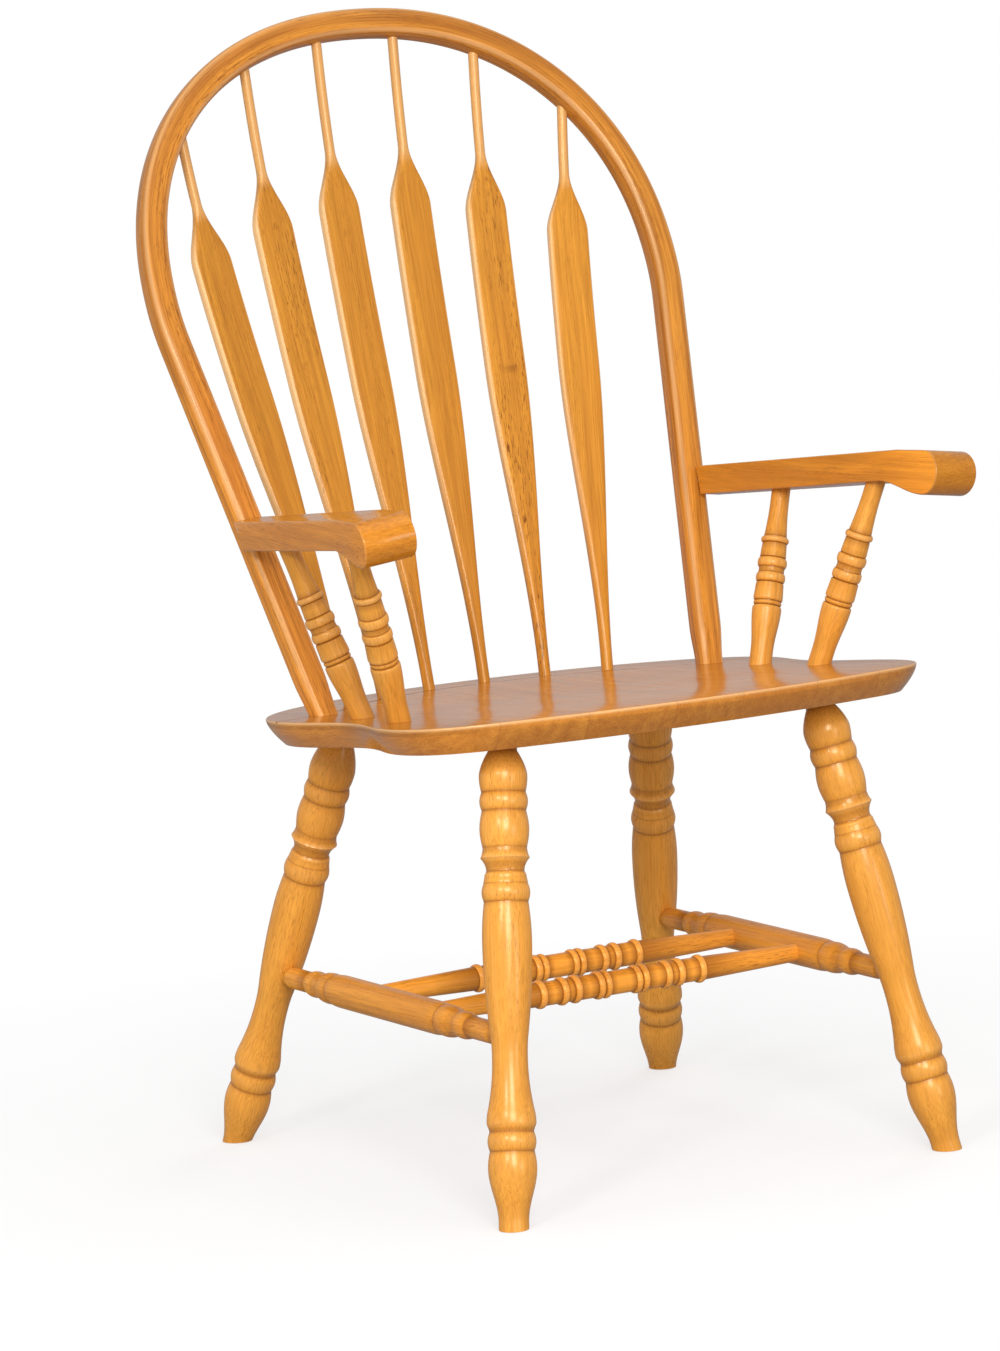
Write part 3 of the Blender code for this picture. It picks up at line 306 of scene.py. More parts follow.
# Lacquer
FIBRE_ROUGHNESS = (-0.04, 0.06)
FIBRE_HEIGHT = 0.35
PORE_DEPTH = 0.6
BUMP_STRENGTH = 0.07
BUMP_DISTANCE = 0.0004
COAT_SHARE = 0.125  # of the gloss
COAT_ROUGHNESS = 0.12
GLOSS_TINT = (1.0, 0.84, 0.58, 1.0)  # the lacquer has yellowed
# Steel of the screws, with waves of its turning marks
STEEL_MARKS = (300.0, 2600.0, 300.0)
STEEL_COLOURS = ((0.46, 0.46, 0.47, 1.0), (0.66, 0.66, 0.65, 1.0))
STEEL_ROUGHNESS = (0.22, 0.42)
# Wear and dirt of turnings, from how far the profile leaves its running means over so many steps
TONE_STEP = 0.0002
RIM_WINDOW = 61
RIM_HEIGHT = 0.0011
RIM_LOWEST = -0.4
SCORE_WINDOW = 15
SCORE_FULL = 0.00022

# Studio
WHITE = (1.0, 1.0, 1.0, 1.0)
ROOM_LIGHT = 0.52  # level of the white room, as the chair is lit by it
FLOOR_REACH = 4.5
FLOOR_DROP = 0.0005
FLOOR_SEEN = 0.92  # how pale the floor is to the camera
FLOOR_BOUNCE = 0.36  # and to the light it throws up
FLOOR_ROUGHNESS = 0.9
FLOOR_FADE = (0.35, 1.1)  # distances over which the floor turns into the backdrop
FLOOR_GLOW = (0.62, 1.0)
# Lamps: place, target, size, power and whether the lacquer mirrors them
LAMPS = {
    "key": ((-1.3, -3.4, 1.9), (0.0, 0.0, 0.4), 1.4, 94.0, True),
    "front": ((0.8, -3.7, 0.8), (0.0, 0.0, 0.5), 0.9, 15.0, True),
    "side": ((-3.0, -2.2, 2.2), (0.0, 0.0, 0.5), 0.7, 40.0, True),
    "top": ((0.4, -0.6, 3.2), (0.0, 0.0, 0.4), 2.0, 11.0, True),
    "fill": ((-4.0, 0.2, 0.35), (0.0, 0.0, 0.45), 1.8, 44.0, False),
    "back": ((3.2, 2.2, 1.8), (0.0, 0.0, 0.45), 1.8, 34.0, False),
}

# Fineness of the meshes
CUT_STEPS = 14
LEG_SIDES = 56
ROD_SIDES = 44
SECTION_SIDES = 56
SEAT_ARC_STEPS = 60
SEAT_SIDE_STEPS = 20
SEAT_CORNER_STEPS = 36
SEAT_FRONT_STEPS = 40
SEAT_EDGE_STEPS = 20
SEAT_DISH_STEPS = 40
SEAT_DISH_RUN = 0.99  # the rings stop short of the middle, where a cap closes them
ROUND_STEPS = 5
GROOVE_ARC_STEPS = 40
GROOVE_END_STEPS = 24
GROOVE_SIDES = 16
BOW_LEG_STEPS = 90
BOW_CROWN_STEPS = 120
SPINDLE_STEPS = 180
ARM_STEPS = 40  # along the underside, round the nose and along the top
ARM_SWEEP_STEPS = 28
ARM_NOSE_TOP_STEPS = 14
SMOOTH_ANGLE = math.radians(34)
SAW_SLACK = 1e-7  # points this near the floor count as on it

# Camera, fitted to the photograph's 1000 by 1351 frame
CAMERA_PLACE = (-2.54, -4.53, 1.103)
CAMERA_RIGHT = (0.87147, -0.48647, -0.06245)
CAMERA_UP = (0.11631, 0.08128, 0.98989)
CAMERA_FOCAL = 5788.3  # pixels
CAMERA_CENTRE = (502.6, 675.1)
PHOTO_SIZE = (1000, 1351)
SENSOR_WIDTH = 36.0

MOUNTS = {mount["name"]: mount["pos_m"] for mount in frame["record"]["mounts"]}
SLIDE = Matrix.Translation((0.0, MOUNTS["foot_front_left"][1] - FRONT_FOOT[1], 0.0))


# Shapes of a turner's cuts: radius at share t of the cut, from radius a to radius b
def taper(t, a, b):
    return a + (b - a) * t


def ease(t, a, b):
    return a + (b - a) * (1 - math.cos(math.pi * t)) / 2


def hollow(t, a, b):
    return b + (a - b) * (1 - t) ** 2


def flare(t, a, b):
    return a + (b - a) * t ** 2


def dome(t, a, b):
    return a + (b - a) * t ** DOME_POWER


def swell(t, a, b):
    return a + (b - a) * math.sqrt(max(0.0, 1 - (1 - t) ** 2))


def bead(t, a, b, peak):
    return taper(t, a, b) + (peak - (a + b) / 2) * math.sin(math.pi * t)


def ring(t, a, b, peak):
    return taper(t, a, b) + (peak - (a + b) / 2) * math.sqrt(max(0.0, 1 - (2 * t - 1) ** 2))


def shares(steps, whole=1):
    """Even steps from nothing to the whole."""
    return [whole * i / steps for i in range(steps + 1)]


def turned_profile(start_radius, cuts, zero_at=0.0):
    """Stations (distance, radius) of a turning made of (shape, length, end radius, peak) cuts."""
    stations = [(0.0, start_radius)]
    for shape, length, *radii in cuts:
        distance, radius = stations[-1]
        count = 2 if shape is taper else CUT_STEPS
        for angle in shares(count, math.pi)[1:]:
            share = (1 - math.cos(angle)) / 2
            stations.append((distance + length * share, shape(share, radius, *radii)))
    return [(distance - zero_at, radius) for distance, radius in stations]


def smooth_step(share):
    share = np.clip(share, 0.0, 1.0)
    return share * share * (3 - 2 * share)


def curve(start, pull, end, t):
    """Point at share t of a curve that leaves start towards pull and reaches end from there."""
    return start * (1 - t) ** 2 + pull * 2 * t * (1 - t) + end * t * t


def with_depth(points, depth):
    """Flat points with this as their third coordinate."""
    return np.column_stack([points, np.full(len(points), depth)])


def sideways(path, *run):
    """Unit vectors across a path, in the plane that it lies in."""
    heading = np.gradient(path, *run, axis=0)
    heading /= np.linalg.norm(heading, axis=1, keepdims=True)
    return with_depth(heading[:, ::-1] * (1, -1), 0.0)


def place_along(start, end):
    """Matrix at start whose Z axis points to end."""
    direction = end - start
    return Matrix.Translation(start) @ direction.to_track_quat("Z", "Y").to_matrix().to_4x4()


def rounded_section(half_width, half_height, power, sides=SECTION_SIDES):
    angles = 2 * np.pi * (np.arange(sides) + 0.5) / sides
    circle = np.stack([np.cos(angles), np.sin(angles)], axis=1)
    return np.sign(circle) * np.abs(circle) ** (2 / power) * (half_width, half_height)


# Meshes that carry their grain (x and y across it, z along it) and the tone of their edges
def skin(name, rings):
    """Mesh over rings of equal length, capped at both ends."""
    rings = np.asarray(rings, float)
    count, sides = rings.shape[:2]
    near = np.arange(sides)
    far = (near + 1) % sides
    base = np.arange(count - 1)[:, None] * sides
    quads = np.stack([base + near, base + far, base + sides + far, base + sides + near], axis=-1)
    faces = quads.reshape(-1, 4).tolist()
    faces.append(list(range(sides))[::-1])
    faces.append(list(range((count - 1) * sides, count * sides)))
    mesh = bpy.data.meshes.new(name)
    mesh.from_pydata(rings.reshape(-1, 3).tolist(), [], faces)
    bm = bmesh.new()
    bm.from_mesh(mesh)
    bmesh.ops.recalc_face_normals(bm, faces=bm.faces)
    bm.to_mesh(mesh)
    bm.free()
    return mesh


def set_grain(mesh, grain, edge, seed, tone=1.0, pores=1.0):
    """Store the grain's coordinates, moved to the piece's own part of the tree, and the piece's tones."""
    offset = np.array(GRAIN_STEP) * seed
    values = np.asarray(grain, float).reshape(-1, 3) + offset
    mesh.attributes.new("grain", "FLOAT_VECTOR", "POINT").data.foreach_set("vector", values.ravel())
    even = np.ones(len(values))
    for name, tones in (("edge", edge), ("tone", tone * even), ("pores", pores * even)):
        values = np.asarray(tones, float).ravel()
        mesh.attributes.new(name, "FLOAT", "POINT").data.foreach_set("value", values)


def points_of(mesh):
    points = np.zeros(len(mesh.vertices) * 3)
    mesh.vertices.foreach_get("co", points)
    return points.reshape(-1, 3)


def new_object(name, data):
    holder = bpy.data.objects.new(name, data)
    bpy.context.scene.collection.objects.link(holder)
    return holder


def add_piece(node, mesh, look, place=Matrix()):
    """Put a finished mesh in the frame in place of a CAD node."""
    mesh.transform(SLIDE @ place)
    mesh.materials.append(LOOKS[look])
    mesh.shade_smooth()
    mesh.set_sharp_from_angle(angle=SMOOTH_ANGLE)
    piece = new_object(node + "_piece", mesh)
    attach(piece, "root")
    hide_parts(node)


def turning_tone(stations, distances):
    """Light on rims and dark in grooves, at these distances along a turning."""
    along, radii = np.array(stations).T
    grid = np.arange(along[0], along[-1], TONE_STEP)
    radius = np.interp(grid, along, radii)

    def off_mean(window):
        padded = np.pad(radius, window // 2, mode="edge")
        return radius - np.convolve(padded, np.ones(window) / window, mode="valid")

    rims = np.clip(off_mean(RIM_WINDOW) / RIM_HEIGHT, RIM_LOWEST, 1)
    lines = np.clip(off_mean(SCORE_WINDOW) / SCORE_FULL, -1, 0)
    return np.interp(distances, grid, np.clip(rims + lines, -1, 1))


def turned(node, stations, start, end, look, seed, tone=1.0, sides=ROD_SIDES, on_floor=False):
    """A turned piece from start towards end, sawn off level at the floor where it stands on it."""
    along, radii = np.array(stations).T
    angles = np.linspace(0, 2 * np.pi, sides, endpoint=False)
    rings = np.stack([
        radii[:, None] * np.cos(angles), radii[:, None] * np.sin(angles),
        np.repeat(along[:, None], sides, axis=1),
    ], axis=-1)
    mesh = skin(node, rings)
    place = place_along(start, end)
    if on_floor:
        to_local = place.inverted()
        bm = bmesh.new()
        bm.from_mesh(mesh)
        bmesh.ops.bisect_plane(
            bm, geom=bm.verts[:] + bm.edges[:] + bm.faces[:], dist=SAW_SLACK,
            plane_co=to_local @ Vector((start.x, start.y, 0)),
            plane_no=to_local.to_3x3() @ Vector((0, 0, -1)), clear_outer=True,
        )
        rim = [edge for edge in bm.edges if edge.is_boundary]
        bmesh.ops.edgeloop_fill(bm, edges=rim)
        bmesh.ops.recalc_face_normals(bm, faces=bm.faces)
        bm.to_mesh(mesh)
        bm.free()
    points = points_of(mesh)
    set_grain(mesh, points, turning_tone(stations, points[:, 2]), seed, tone)
    add_piece(node, mesh, look, place)


# Seat
def seat_top(x, y):
    return Vector((x, y, SEAT_HEIGHT - y * math.tan(SEAT_SLOPE)))


def seat_underside(x, y):
    return seat_top(x, y) - Vector((0, 0, SEAT_THICKNESS / math.cos(SEAT_SLOPE)))


def seat_half_outline():
    """The sitter's left half of the seat's top edge, from the middle of the back to that of the front."""
    points = []
    for angle in shares(SEAT_ARC_STEPS, math.pi / 2)[:-1]:
        y = taper(math.cos(angle), SEAT_REAR_WIDEST, SEAT_BACK)
        points.append((SEAT_REAR_HALF_WIDTH * math.sin(angle), y))
    bends = (
        (SEAT_REAR_HALF_WIDTH, SEAT_REAR_WIDEST), (SEAT_WAIST_HALF_WIDTH, SEAT_WAIST),
        (SEAT_FRONT_HALF_WIDTH, SEAT_FRONT_WIDEST),
    )
    for (width_a, y_a), (width_b, y_b) in zip(bends, bends[1:]):
        for share in shares(SEAT_SIDE_STEPS)[:-1]:
            points.append((ease(share, width_a, width_b), taper(share, y_a, y_b)))
    corner_x = SEAT_FRONT_HALF_WIDTH - SEAT_CORNER_WIDTH
    corner_y = SEAT_FRONT_SWEEP - SEAT_FRONT
    slope = 2 * SEAT_FRONT_SWEEP / corner_x
    pull = Vector((SEAT_FRONT_HALF_WIDTH, corner_y + slope * SEAT_CORNER_WIDTH))
    start = Vector(bends[-1])
    end = Vector((corner_x, corner_y))
    points += [tuple(curve(start, pull, end, t)) for t in shares(SEAT_CORNER_STEPS)[:-1]]
    for t in shares(SEAT_FRONT_STEPS):
        x = corner_x * (1 - t)
        points.append((x, SEAT_FRONT_SWEEP * (x / corner_x) ** 2 - SEAT_FRONT))
    return points


def seat_rings():
    half = seat_half_outline()
    outline = np.array(half + [(-x, y) for x, y in reversed(half[1:-1])])
    centre = np.array([0, SEAT_MIDDLE])
    outward = outline - centre
    reach = np.linalg.norm(outward, axis=1, keepdims=True)

    def ring_at(share, drop):
        return with_depth(centre + outward * share, -drop)

    rings = []
    for t in shares(SEAT_EDGE_STEPS):
        share = 1 - t
        inset = SEAT_UNDERCUT * share ** SEAT_EDGE_POWER
        rings.append(ring_at(1 - inset / reach, taper(share, SEAT_EDGE_ROUND, SEAT_THICKNESS)))
    for angle in shares(ROUND_STEPS, math.pi / 2)[1:]:
        inset = SEAT_EDGE_ROUND * (1 - math.cos(angle))
        rings.append(ring_at(1 - inset / reach, SEAT_EDGE_ROUND * (1 - math.sin(angle))))
    for t in shares(SEAT_DISH_STEPS):
        share = 1 - t * SEAT_DISH_RUN
        rings.append(ring_at(share * SEAT_DISH_REACH, SEAT_DISH * (1 - share ** 2) ** 2))
    return rings


def groove_path():
    """The line scribed ahead of the spindles, out past both of the seat's sides."""
    radius = SPINDLE_ARC_RADIUS - GROOVE_SETBACK
    turn_angle = math.asin(GROOVE_TURN / radius)
    points = []
    for angle in shares(GROOVE_ARC_STEPS, turn_angle):
        points.append(Vector((radius * math.sin(angle), SPINDLE_ARC_CENTRE + radius * math.cos(angle))))
    start = points[-1]
    run = (start.y - GROOVE_SIDE) / math.tan(turn_angle)
    pull = Vector((start.x + run, GROOVE_SIDE))
    end = Vector((SEAT_REAR_HALF_WIDTH + SEAT_UNDERCUT, GROOVE_SIDE))
    points += [curve(start, pull, end, t) for t in shares(GROOVE_END_STEPS)[1:]]
    return [(-p.x, p.y) for p in reversed(points[1:])] + [(p.x, p.y) for p in points]


def groove_cutter():
    """A round bar along the scribed line, to cut it with."""
    path = np.array(groove_path())
    across = sideways(path)
    middle = with_depth(path, 0.0)
    section = rounded_section(GROOVE_RADIUS, GROOVE_RADIUS, 2, GROOVE_SIDES)
    rings = middle[:, None] + across[:, None] * section[None, :, :1] + [0, 0, 1] * section[None, :, 1:]
    return new_object("groove_cutter", skin("groove_cutter", rings))


def make_seat(seed):
    blank = new_object("seat_blank", skin("seat_blank", seat_rings()))
    cutter = groove_cutter()
    saw = blank.modifiers.new("groove", "BOOLEAN")
    saw.object = cutter
    mesh = bpy.data.meshes.new_from_object(blank.evaluated_get(bpy.context.evaluated_depsgraph_get()))
    for leftover in (blank, cutter):
        bpy.data.objects.remove(leftover)
    points = points_of(mesh)
    below = -points[:, 2]
    half = np.array(seat_half_outline())
    rim = np.concatenate([half, half * (-1, 1)])
    path = np.array(groove_path())
    edge = np.zeros(len(points))
    for i in np.flatnonzero((below > SEAT_RIM_DEPTH) & (below < 2 * GROOVE_RADIUS)):
        if np.hypot(*(path - points[i, :2]).T).min() < 2 * GROOVE_RADIUS:
            edge[i] = -1.0
        elif np.hypot(*(rim - points[i, :2]).T).min() < 2 * SEAT_EDGE_ROUND:
            edge[i] = 1.0 if below[i] < SEAT_EDGE_ROUND else SEAT_LOW_RIM_WEAR
    # painted reflection: the top is paler in its middle
    middle = smooth_step((SEAT_TOP_HALF_WIDTH - np.abs(points[:, 0])) / SEAT_TOP_FADE)
    # painted light: the edge is paler at its right end
    lit_right_end = smooth_step((-points[:, 0] - SEAT_END_START) / SEAT_END_FADE)
    on_top = below < SEAT_DISH + SEAT_TOP_SLACK
    tone = np.where(on_top, SEAT_RIM_TONE + SEAT_TOP_SHEEN * middle, 1 + SEAT_END_LIGHT * lit_right_end)
    set_grain(mesh, points[:, [0, 2, 1]], edge, seed, tone)
    place = Matrix.Translation((0, 0, SEAT_HEIGHT)) @ Matrix.Rotation(-SEAT_SLOPE, 4, "X")
    add_piece("seat", mesh, "seat_wood", place)


# Legs and stretchers
def leg_stations(length, foot, neck):
    lean_room = LEG_TENON_RADIUS / 2
    plain = foot - LEG_FOOT_FLARE - LEG_FOOT_SHOULDER
    groove = LEG_GROOVE_RADIUS
    ankle = [
        (bead, LEG_ANKLE_RING, groove, LEG_RING_RADIUS),
        (ease, LEG_ANKLE_LIP, LEG_LIP_RADIUS),
        (flare, LEG_CREST, LEG_CREST_RADIUS),
        (hollow, LEG_ANKLE_HOLLOW, LEG_ANKLE_RADIUS),
        (taper, LEG_ANKLE, LEG_ANKLE_RADIUS),
        (flare, LEG_CALF, LEG_CALF_RADIUS),
    ]
    upper = [
        (flare, LEG_BODY_END, groove),
        (bead, LEG_RING, groove, LEG_RING_RADIUS),
        (ease, LEG_STEP, LEG_STEP_RADIUS),
        (ease, LEG_COVE_FALL, LEG_COVE_RADIUS),
        (flare, LEG_COVE_RISE, LEG_LIP_RADIUS),
        (hollow, LEG_COVE_EDGE, groove),
        (bead, LEG_BARREL, groove, LEG_BODY_RADIUS),
        (bead, LEG_RING, groove, LEG_RING_RADIUS),
    ]
    body = length - foot - neck - sum(row[1] for row in ankle + upper)
    cuts = [
        (taper, FOOT_TRIM + plain, LEG_TIP_RADIUS),
        (ease, LEG_FOOT_FLARE, LEG_FOOT_RADIUS),
        (flare, LEG_FOOT_SHOULDER, groove),
        *ankle,
        (hollow, body, LEG_BODY_RADIUS),
        *upper,
        (hollow, LEG_BULB, LEG_RING_RADIUS),
        (dome, neck - LEG_BULB - lean_room, LEG_TENON_RADIUS),
        (taper, lean_room + LEG_TENON, LEG_TENON_RADIUS),
    ]
    return turned_profile(LEG_TIP_RADIUS, cuts, FOOT_TRIM)


def symmetric(half):
    """A turning whose second half mirrors its first."""
    middle = half[-1][0]
    return half + [(2 * middle - distance, radius) for distance, radius in reversed(half[:-1])]


def side_stretcher_stations(length):
    shoulder_at = LEG_CALF_RADIUS + SIDE_ROD_NECK_RADIUS / 2
    half = [
        (taper, shoulder_at - TENON_SHORT, SIDE_ROD_TENON_RADIUS),
        (ease, LEG_CALF_RADIUS / 2, SIDE_ROD_NECK_RADIUS),
        (taper, SIDE_ROD_NECK - shoulder_at - LEG_CALF_RADIUS / 2, SIDE_ROD_NECK_RADIUS),
        (bead, SIDE_ROD_BEAD, SIDE_ROD_WAIST_RADIUS, SIDE_ROD_BEAD_RADIUS),
        (flare, SIDE_ROD_RISE, SIDE_ROD_GROOVE_RADIUS),
        (bead, SIDE_ROD_RING, SIDE_ROD_GROOVE_RADIUS, SIDE_ROD_RING_RADIUS),
        (hollow, SIDE_ROD_SWELL, SIDE_ROD_RADIUS),
    ]
    used = sum(row[1] for row in half)
    half.append((taper, length / 2 - TENON_SHORT - used, SIDE_ROD_RADIUS))
    return symmetric(turned_profile(SIDE_ROD_TENON_RADIUS, half))


def cross_stretcher_stations(length):
    """Plain tapered ends and a middle with beads, each with a line scored on its outer side."""
    inside = SIDE_ROD_RADIUS
    core = CROSS_ROD_RADIUS
    at = length / 2 - TENON_SHORT - inside
    half = [(taper, inside, CROSS_ROD_TENON_RADIUS)]
    for middle in CROSS_ROD_BEADS:
        outer = middle + CROSS_ROD_BEAD_LENGTH / 2
        if at - outer > SCORE_WIDTH:
            half.append((taper, at - outer - SCORE_WIDTH, core))
            half.append((taper, SCORE_WIDTH / 2, core - SCORE_DEPTH))
            half.append((taper, SCORE_WIDTH / 2, core))
        else:
            half.append((taper, at - outer, core - SCORE_DEPTH))
        half.append((ring, CROSS_ROD_BEAD_LENGTH, core, CROSS_ROD_BEAD_RADIUS))
        at = outer - CROSS_ROD_BEAD_LENGTH
    half.append((taper, at, core))
    return symmetric(turned_profile(CROSS_ROD_TENON_RADIUS, half))


def make_stretcher(node, start, end, stations, seed, tone=1.0):
    tip = start + (end - start).normalized() * TENON_SHORT
    turned(node, stations, tip, end, "stretcher_wood", seed, tone)


def make_base(seed):
    front = (FRONT_FOOT, FRONT_LEG_HEAD, SIDE_ROD_FRONT, LEG_FOOT, LEG_NECK)
    rear = (REAR_FOOT, REAR_LEG_HEAD, SIDE_ROD_REAR, LEG_FOOT - REAR_FOOT_CUT, LEG_NECK + REAR_LEG_DROP)
    cross_ends = {name: [] for name in CROSS_STRETCHERS}
    for hand, side in HANDS.items():
        rod_ends = []
        for name, (foot, head, rod_at, *cuts) in (("leg_front_", front), ("leg_rear_", rear)):
            seed += 1
            start = Vector((side * foot[0], foot[1], 0.0))
            end = seat_underside(side * head[0], head[1])
            stations = leg_stations((end - start).length, *cuts)
            turned(name + hand, stations, start, end, "leg_wood", seed, sides=LEG_SIDES, on_floor=True)
            rod_ends.append(start + (end - start).normalized() * rod_at)
        front_end, rear_end = rod_ends
        seed += 1
        stations = side_stretcher_stations((rear_end - front_end).length)
        make_stretcher("side_stretcher_" + hand, front_end, rear_end, stations, seed)
        for name, y in CROSS_STRETCHERS.items():
            share = (y - front_end.y) / (rear_end.y - front_end.y)
            cross_ends[name].append(front_end.lerp(rear_end, share))
    for name, (left, right) in cross_ends.items():
        seed += 1
        stations = cross_stretcher_stations((right - left).length)
        # painted light makes the cross stretchers paler
        make_stretcher(name, left, right, stations, seed, CROSS_ROD_LIGHT)


# Bow
def bow_half_width(rise):
    slope = (BOW_HALF_WIDTH - BOW_FOOT_HALF_WIDTH) / ((BOW_STRAIGHT + BOW_SPRING) / 2)
    bent = max(0.0, rise - BOW_STRAIGHT)
    return BOW_FOOT_HALF_WIDTH + slope * rise - slope * bent ** 2 / (2 * (BOW_SPRING - BOW_STRAIGHT))


def bow_crown_rise(x):
    share = abs(x) / BOW_HALF_WIDTH
    return BOW_SPRING + BOW_CROWN * (1 - share ** BOW_CROWN_POWER) ** (1 / BOW_CROWN_POWER)


def bow_place():
    foot = seat_top(0.0, BOW_FOOT)
    return Matrix.Translation(foot) @ Matrix.Rotation(math.pi / 2 - BOW_RECLINE, 4, "X")


def bow_path():
    """Centre line in the bow's own plane, from one tenon over the crown to the other."""
    rises = np.linspace(-BOW_TENON, BOW_SPRING, BOW_LEG_STEPS, endpoint=False)
    leg = [(bow_half_width(rise), rise) for rise in rises]
    power = 2 / BOW_CROWN_POWER
    angles = np.linspace(0, np.pi / 2, BOW_CROWN_STEPS)
    x = BOW_HALF_WIDTH * np.maximum(0.0, np.cos(angles)) ** power
    rise = BOW_SPRING + BOW_CROWN * np.sin(angles) ** power
    half = np.array(leg + list(zip(x, rise)))
    return np.concatenate([half, half[-2::-1] * (-1, 1)])


def make_bow(seed):
    path = bow_path()
    run = np.concatenate([[0.0], np.cumsum(np.linalg.norm(np.diff(path, axis=0), axis=1))])
    across = sideways(path, run)
    section = rounded_section(BOW_SECTION, BOW_SECTION, BOW_SECTION_POWER)
    reach = np.linalg.norm(section, axis=1)
    # painted highlight: the arrises are pale
    arris_highlight = np.clip((reach - np.median(reach)) / (reach.max() - np.median(reach)), 0, 1) ** 2
    rings, grain, edge, tone = [], [], [], []
    for (x, rise), side, distance in zip(path, across, run):
        shape = section * taper(smooth_step(rise / BOW_TAPER_LENGTH), BOW_FOOT_TAPER, 1)
        middle = np.array([x, rise, 0.0])
        rings.append(middle + side * shape[:, :1] + [0, 0, 1] * shape[:, 1:])
        grain.append(with_depth(shape, distance))
        edge.append(arris_highlight)
        # painted light: paler low down, on the chair's right and on faces towards the chair's left
        low = 1 - smooth_step((rise - BOW_LOW) / BOW_LOW_FADE)
        right = smooth_step((BOW_RIGHT_TOP - rise) / BOW_RIGHT_FADE) if x < 0 else 0.0
        facing_light = side[0] * section[:, 0] / BOW_SECTION
        tone.append(1 + BOW_LOW_LIGHT * low + BOW_RIGHT_LIGHT * right + BOW_FACING_LIGHT * facing_light)
    mesh = skin("bow", rings)
    set_grain(mesh, grain, edge, seed, np.concatenate(tone))
    add_piece("bow", mesh, "bow_wood", bow_place())


# Spindles
class Spindle:
    """One arrow spindle: its bent axis and its sections."""

    def __init__(self, number):
        self.step = number - (SPINDLE_COUNT - 1) / 2
        angle = self.step * SPINDLE_ARC_PITCH
        foot_x = SPINDLE_ARC_RADIUS * math.sin(angle)
        self.foot = seat_top(foot_x, SPINDLE_ARC_CENTRE + SPINDLE_ARC_RADIUS * math.cos(angle))
        head_x = self.step * SPINDLE_HEAD_PITCH
        self.chord = bow_place() @ Vector((head_x, bow_crown_rise(head_x), 0.0)) - self.foot
        self.length = self.chord.length
        fan = self.step * SPINDLE_FAN
        self.across = Vector((math.cos(fan), -math.sin(fan), 0))
        self.bulge = self.chord.cross(self.across).normalized() * SPINDLE_BULGE

    def bend(self, share):
        """Share of the bulge and its slope; past either end the axis runs on straight."""
        power = SPINDLE_BEND_POWER
        full = (power / (power + 1)) ** power / (power + 1)
        inside = min(1 - SPINDLE_HEAD_STRAIGHT / self.length, max(0.0, share))
        slope = inside ** (power - 1) * (power - (power + 1) * inside) / full
        return inside ** power * (1 - inside) / full + slope * (share - inside), slope

    def flatness(self, distance):
        """0 where the spindle is round, 1 where it is the full paddle."""
        edge = SPINDLE_SHOULDER - SPINDLE_SHOULDER_DROP * self.step ** 2
        rising = smooth_step((distance - SPINDLE_FOOT_STRAIGHT) / SPINDLE_SWELL)
        falling = 1 - smooth_step((distance - edge) / SPINDLE_HEAD_TAPER)
        return min(rising, falling)

    def ring(self, distance):
        """One section: its points, their grain and their edge tone, with painted highlights on the
        paddle's sides and the neck.
        """
        share = distance / self.length
        offset, slope = self.bend(share)
        along = (self.chord + self.bulge * slope).normalized()
        across = (self.across - along * self.across.dot(along)).normalized()
        normal = along.cross(across)
        middle = self.foot + self.chord * share + self.bulge * offset
        flat = self.flatness(distance)
        end_radius = SPINDLE_FOOT_RADIUS if share < 0.5 else SPINDLE_NECK_RADIUS
        shape = rounded_section(
            taper(flat, end_radius, PADDLE_WIDTH / 2), taper(flat, end_radius, PADDLE_THICKNESS / 2),
            2 + (PADDLE_POWER - 2) * math.sqrt(flat),
        )
        points = np.array(middle) + shape[:, :1] * np.array(across) + shape[:, 1:] * np.array(normal)
        grain = with_depth(shape, distance)
        # painted highlight on the paddle's sides and, all round, on the neck
        out = np.abs(shape[:, 0]) / np.abs(shape[:, 0]).max()
        sides = flat * np.clip((out - PADDLE_HIGHLIGHT_START) / PADDLE_HIGHLIGHT_RUN, 0, 1)
        neck = SPINDLE_NECK_HIGHLIGHT * max(0.0, 1 - SPINDLE_NECK_FADE * flat) if share > 0.5 else 0.0
        return points, grain, np.maximum(sides, neck)


def make_spindles(seed):
    for number in range(SPINDLE_COUNT):
        spindle = Spindle(number)
        distances = np.linspace(-SPINDLE_TENON, spindle.length, SPINDLE_STEPS)
        rings, grain, edge = (np.array(rows) for rows in zip(*(spindle.ring(d) for d in distances)))
        node = "spindle_%d" % (number + 1)
        mesh = skin(node, rings)
        if number == KNOT_SPINDLE:
            off = (grain[:, :, [0, 2]] - KNOT_PLACE) / KNOT_SIZE
            edge -= KNOT_DARK * np.exp(-(off ** 2).sum(axis=2))
        set_grain(mesh, grain, edge, seed + number, *SPINDLE_TONES[number])
        add_piece(node, mesh, "spindle_wood")


# Arms
def arm_underside(y):
    return ARM_UNDERSIDE + math.tan(ARM_PITCH) * (ARM_LEVEL_AT - y)


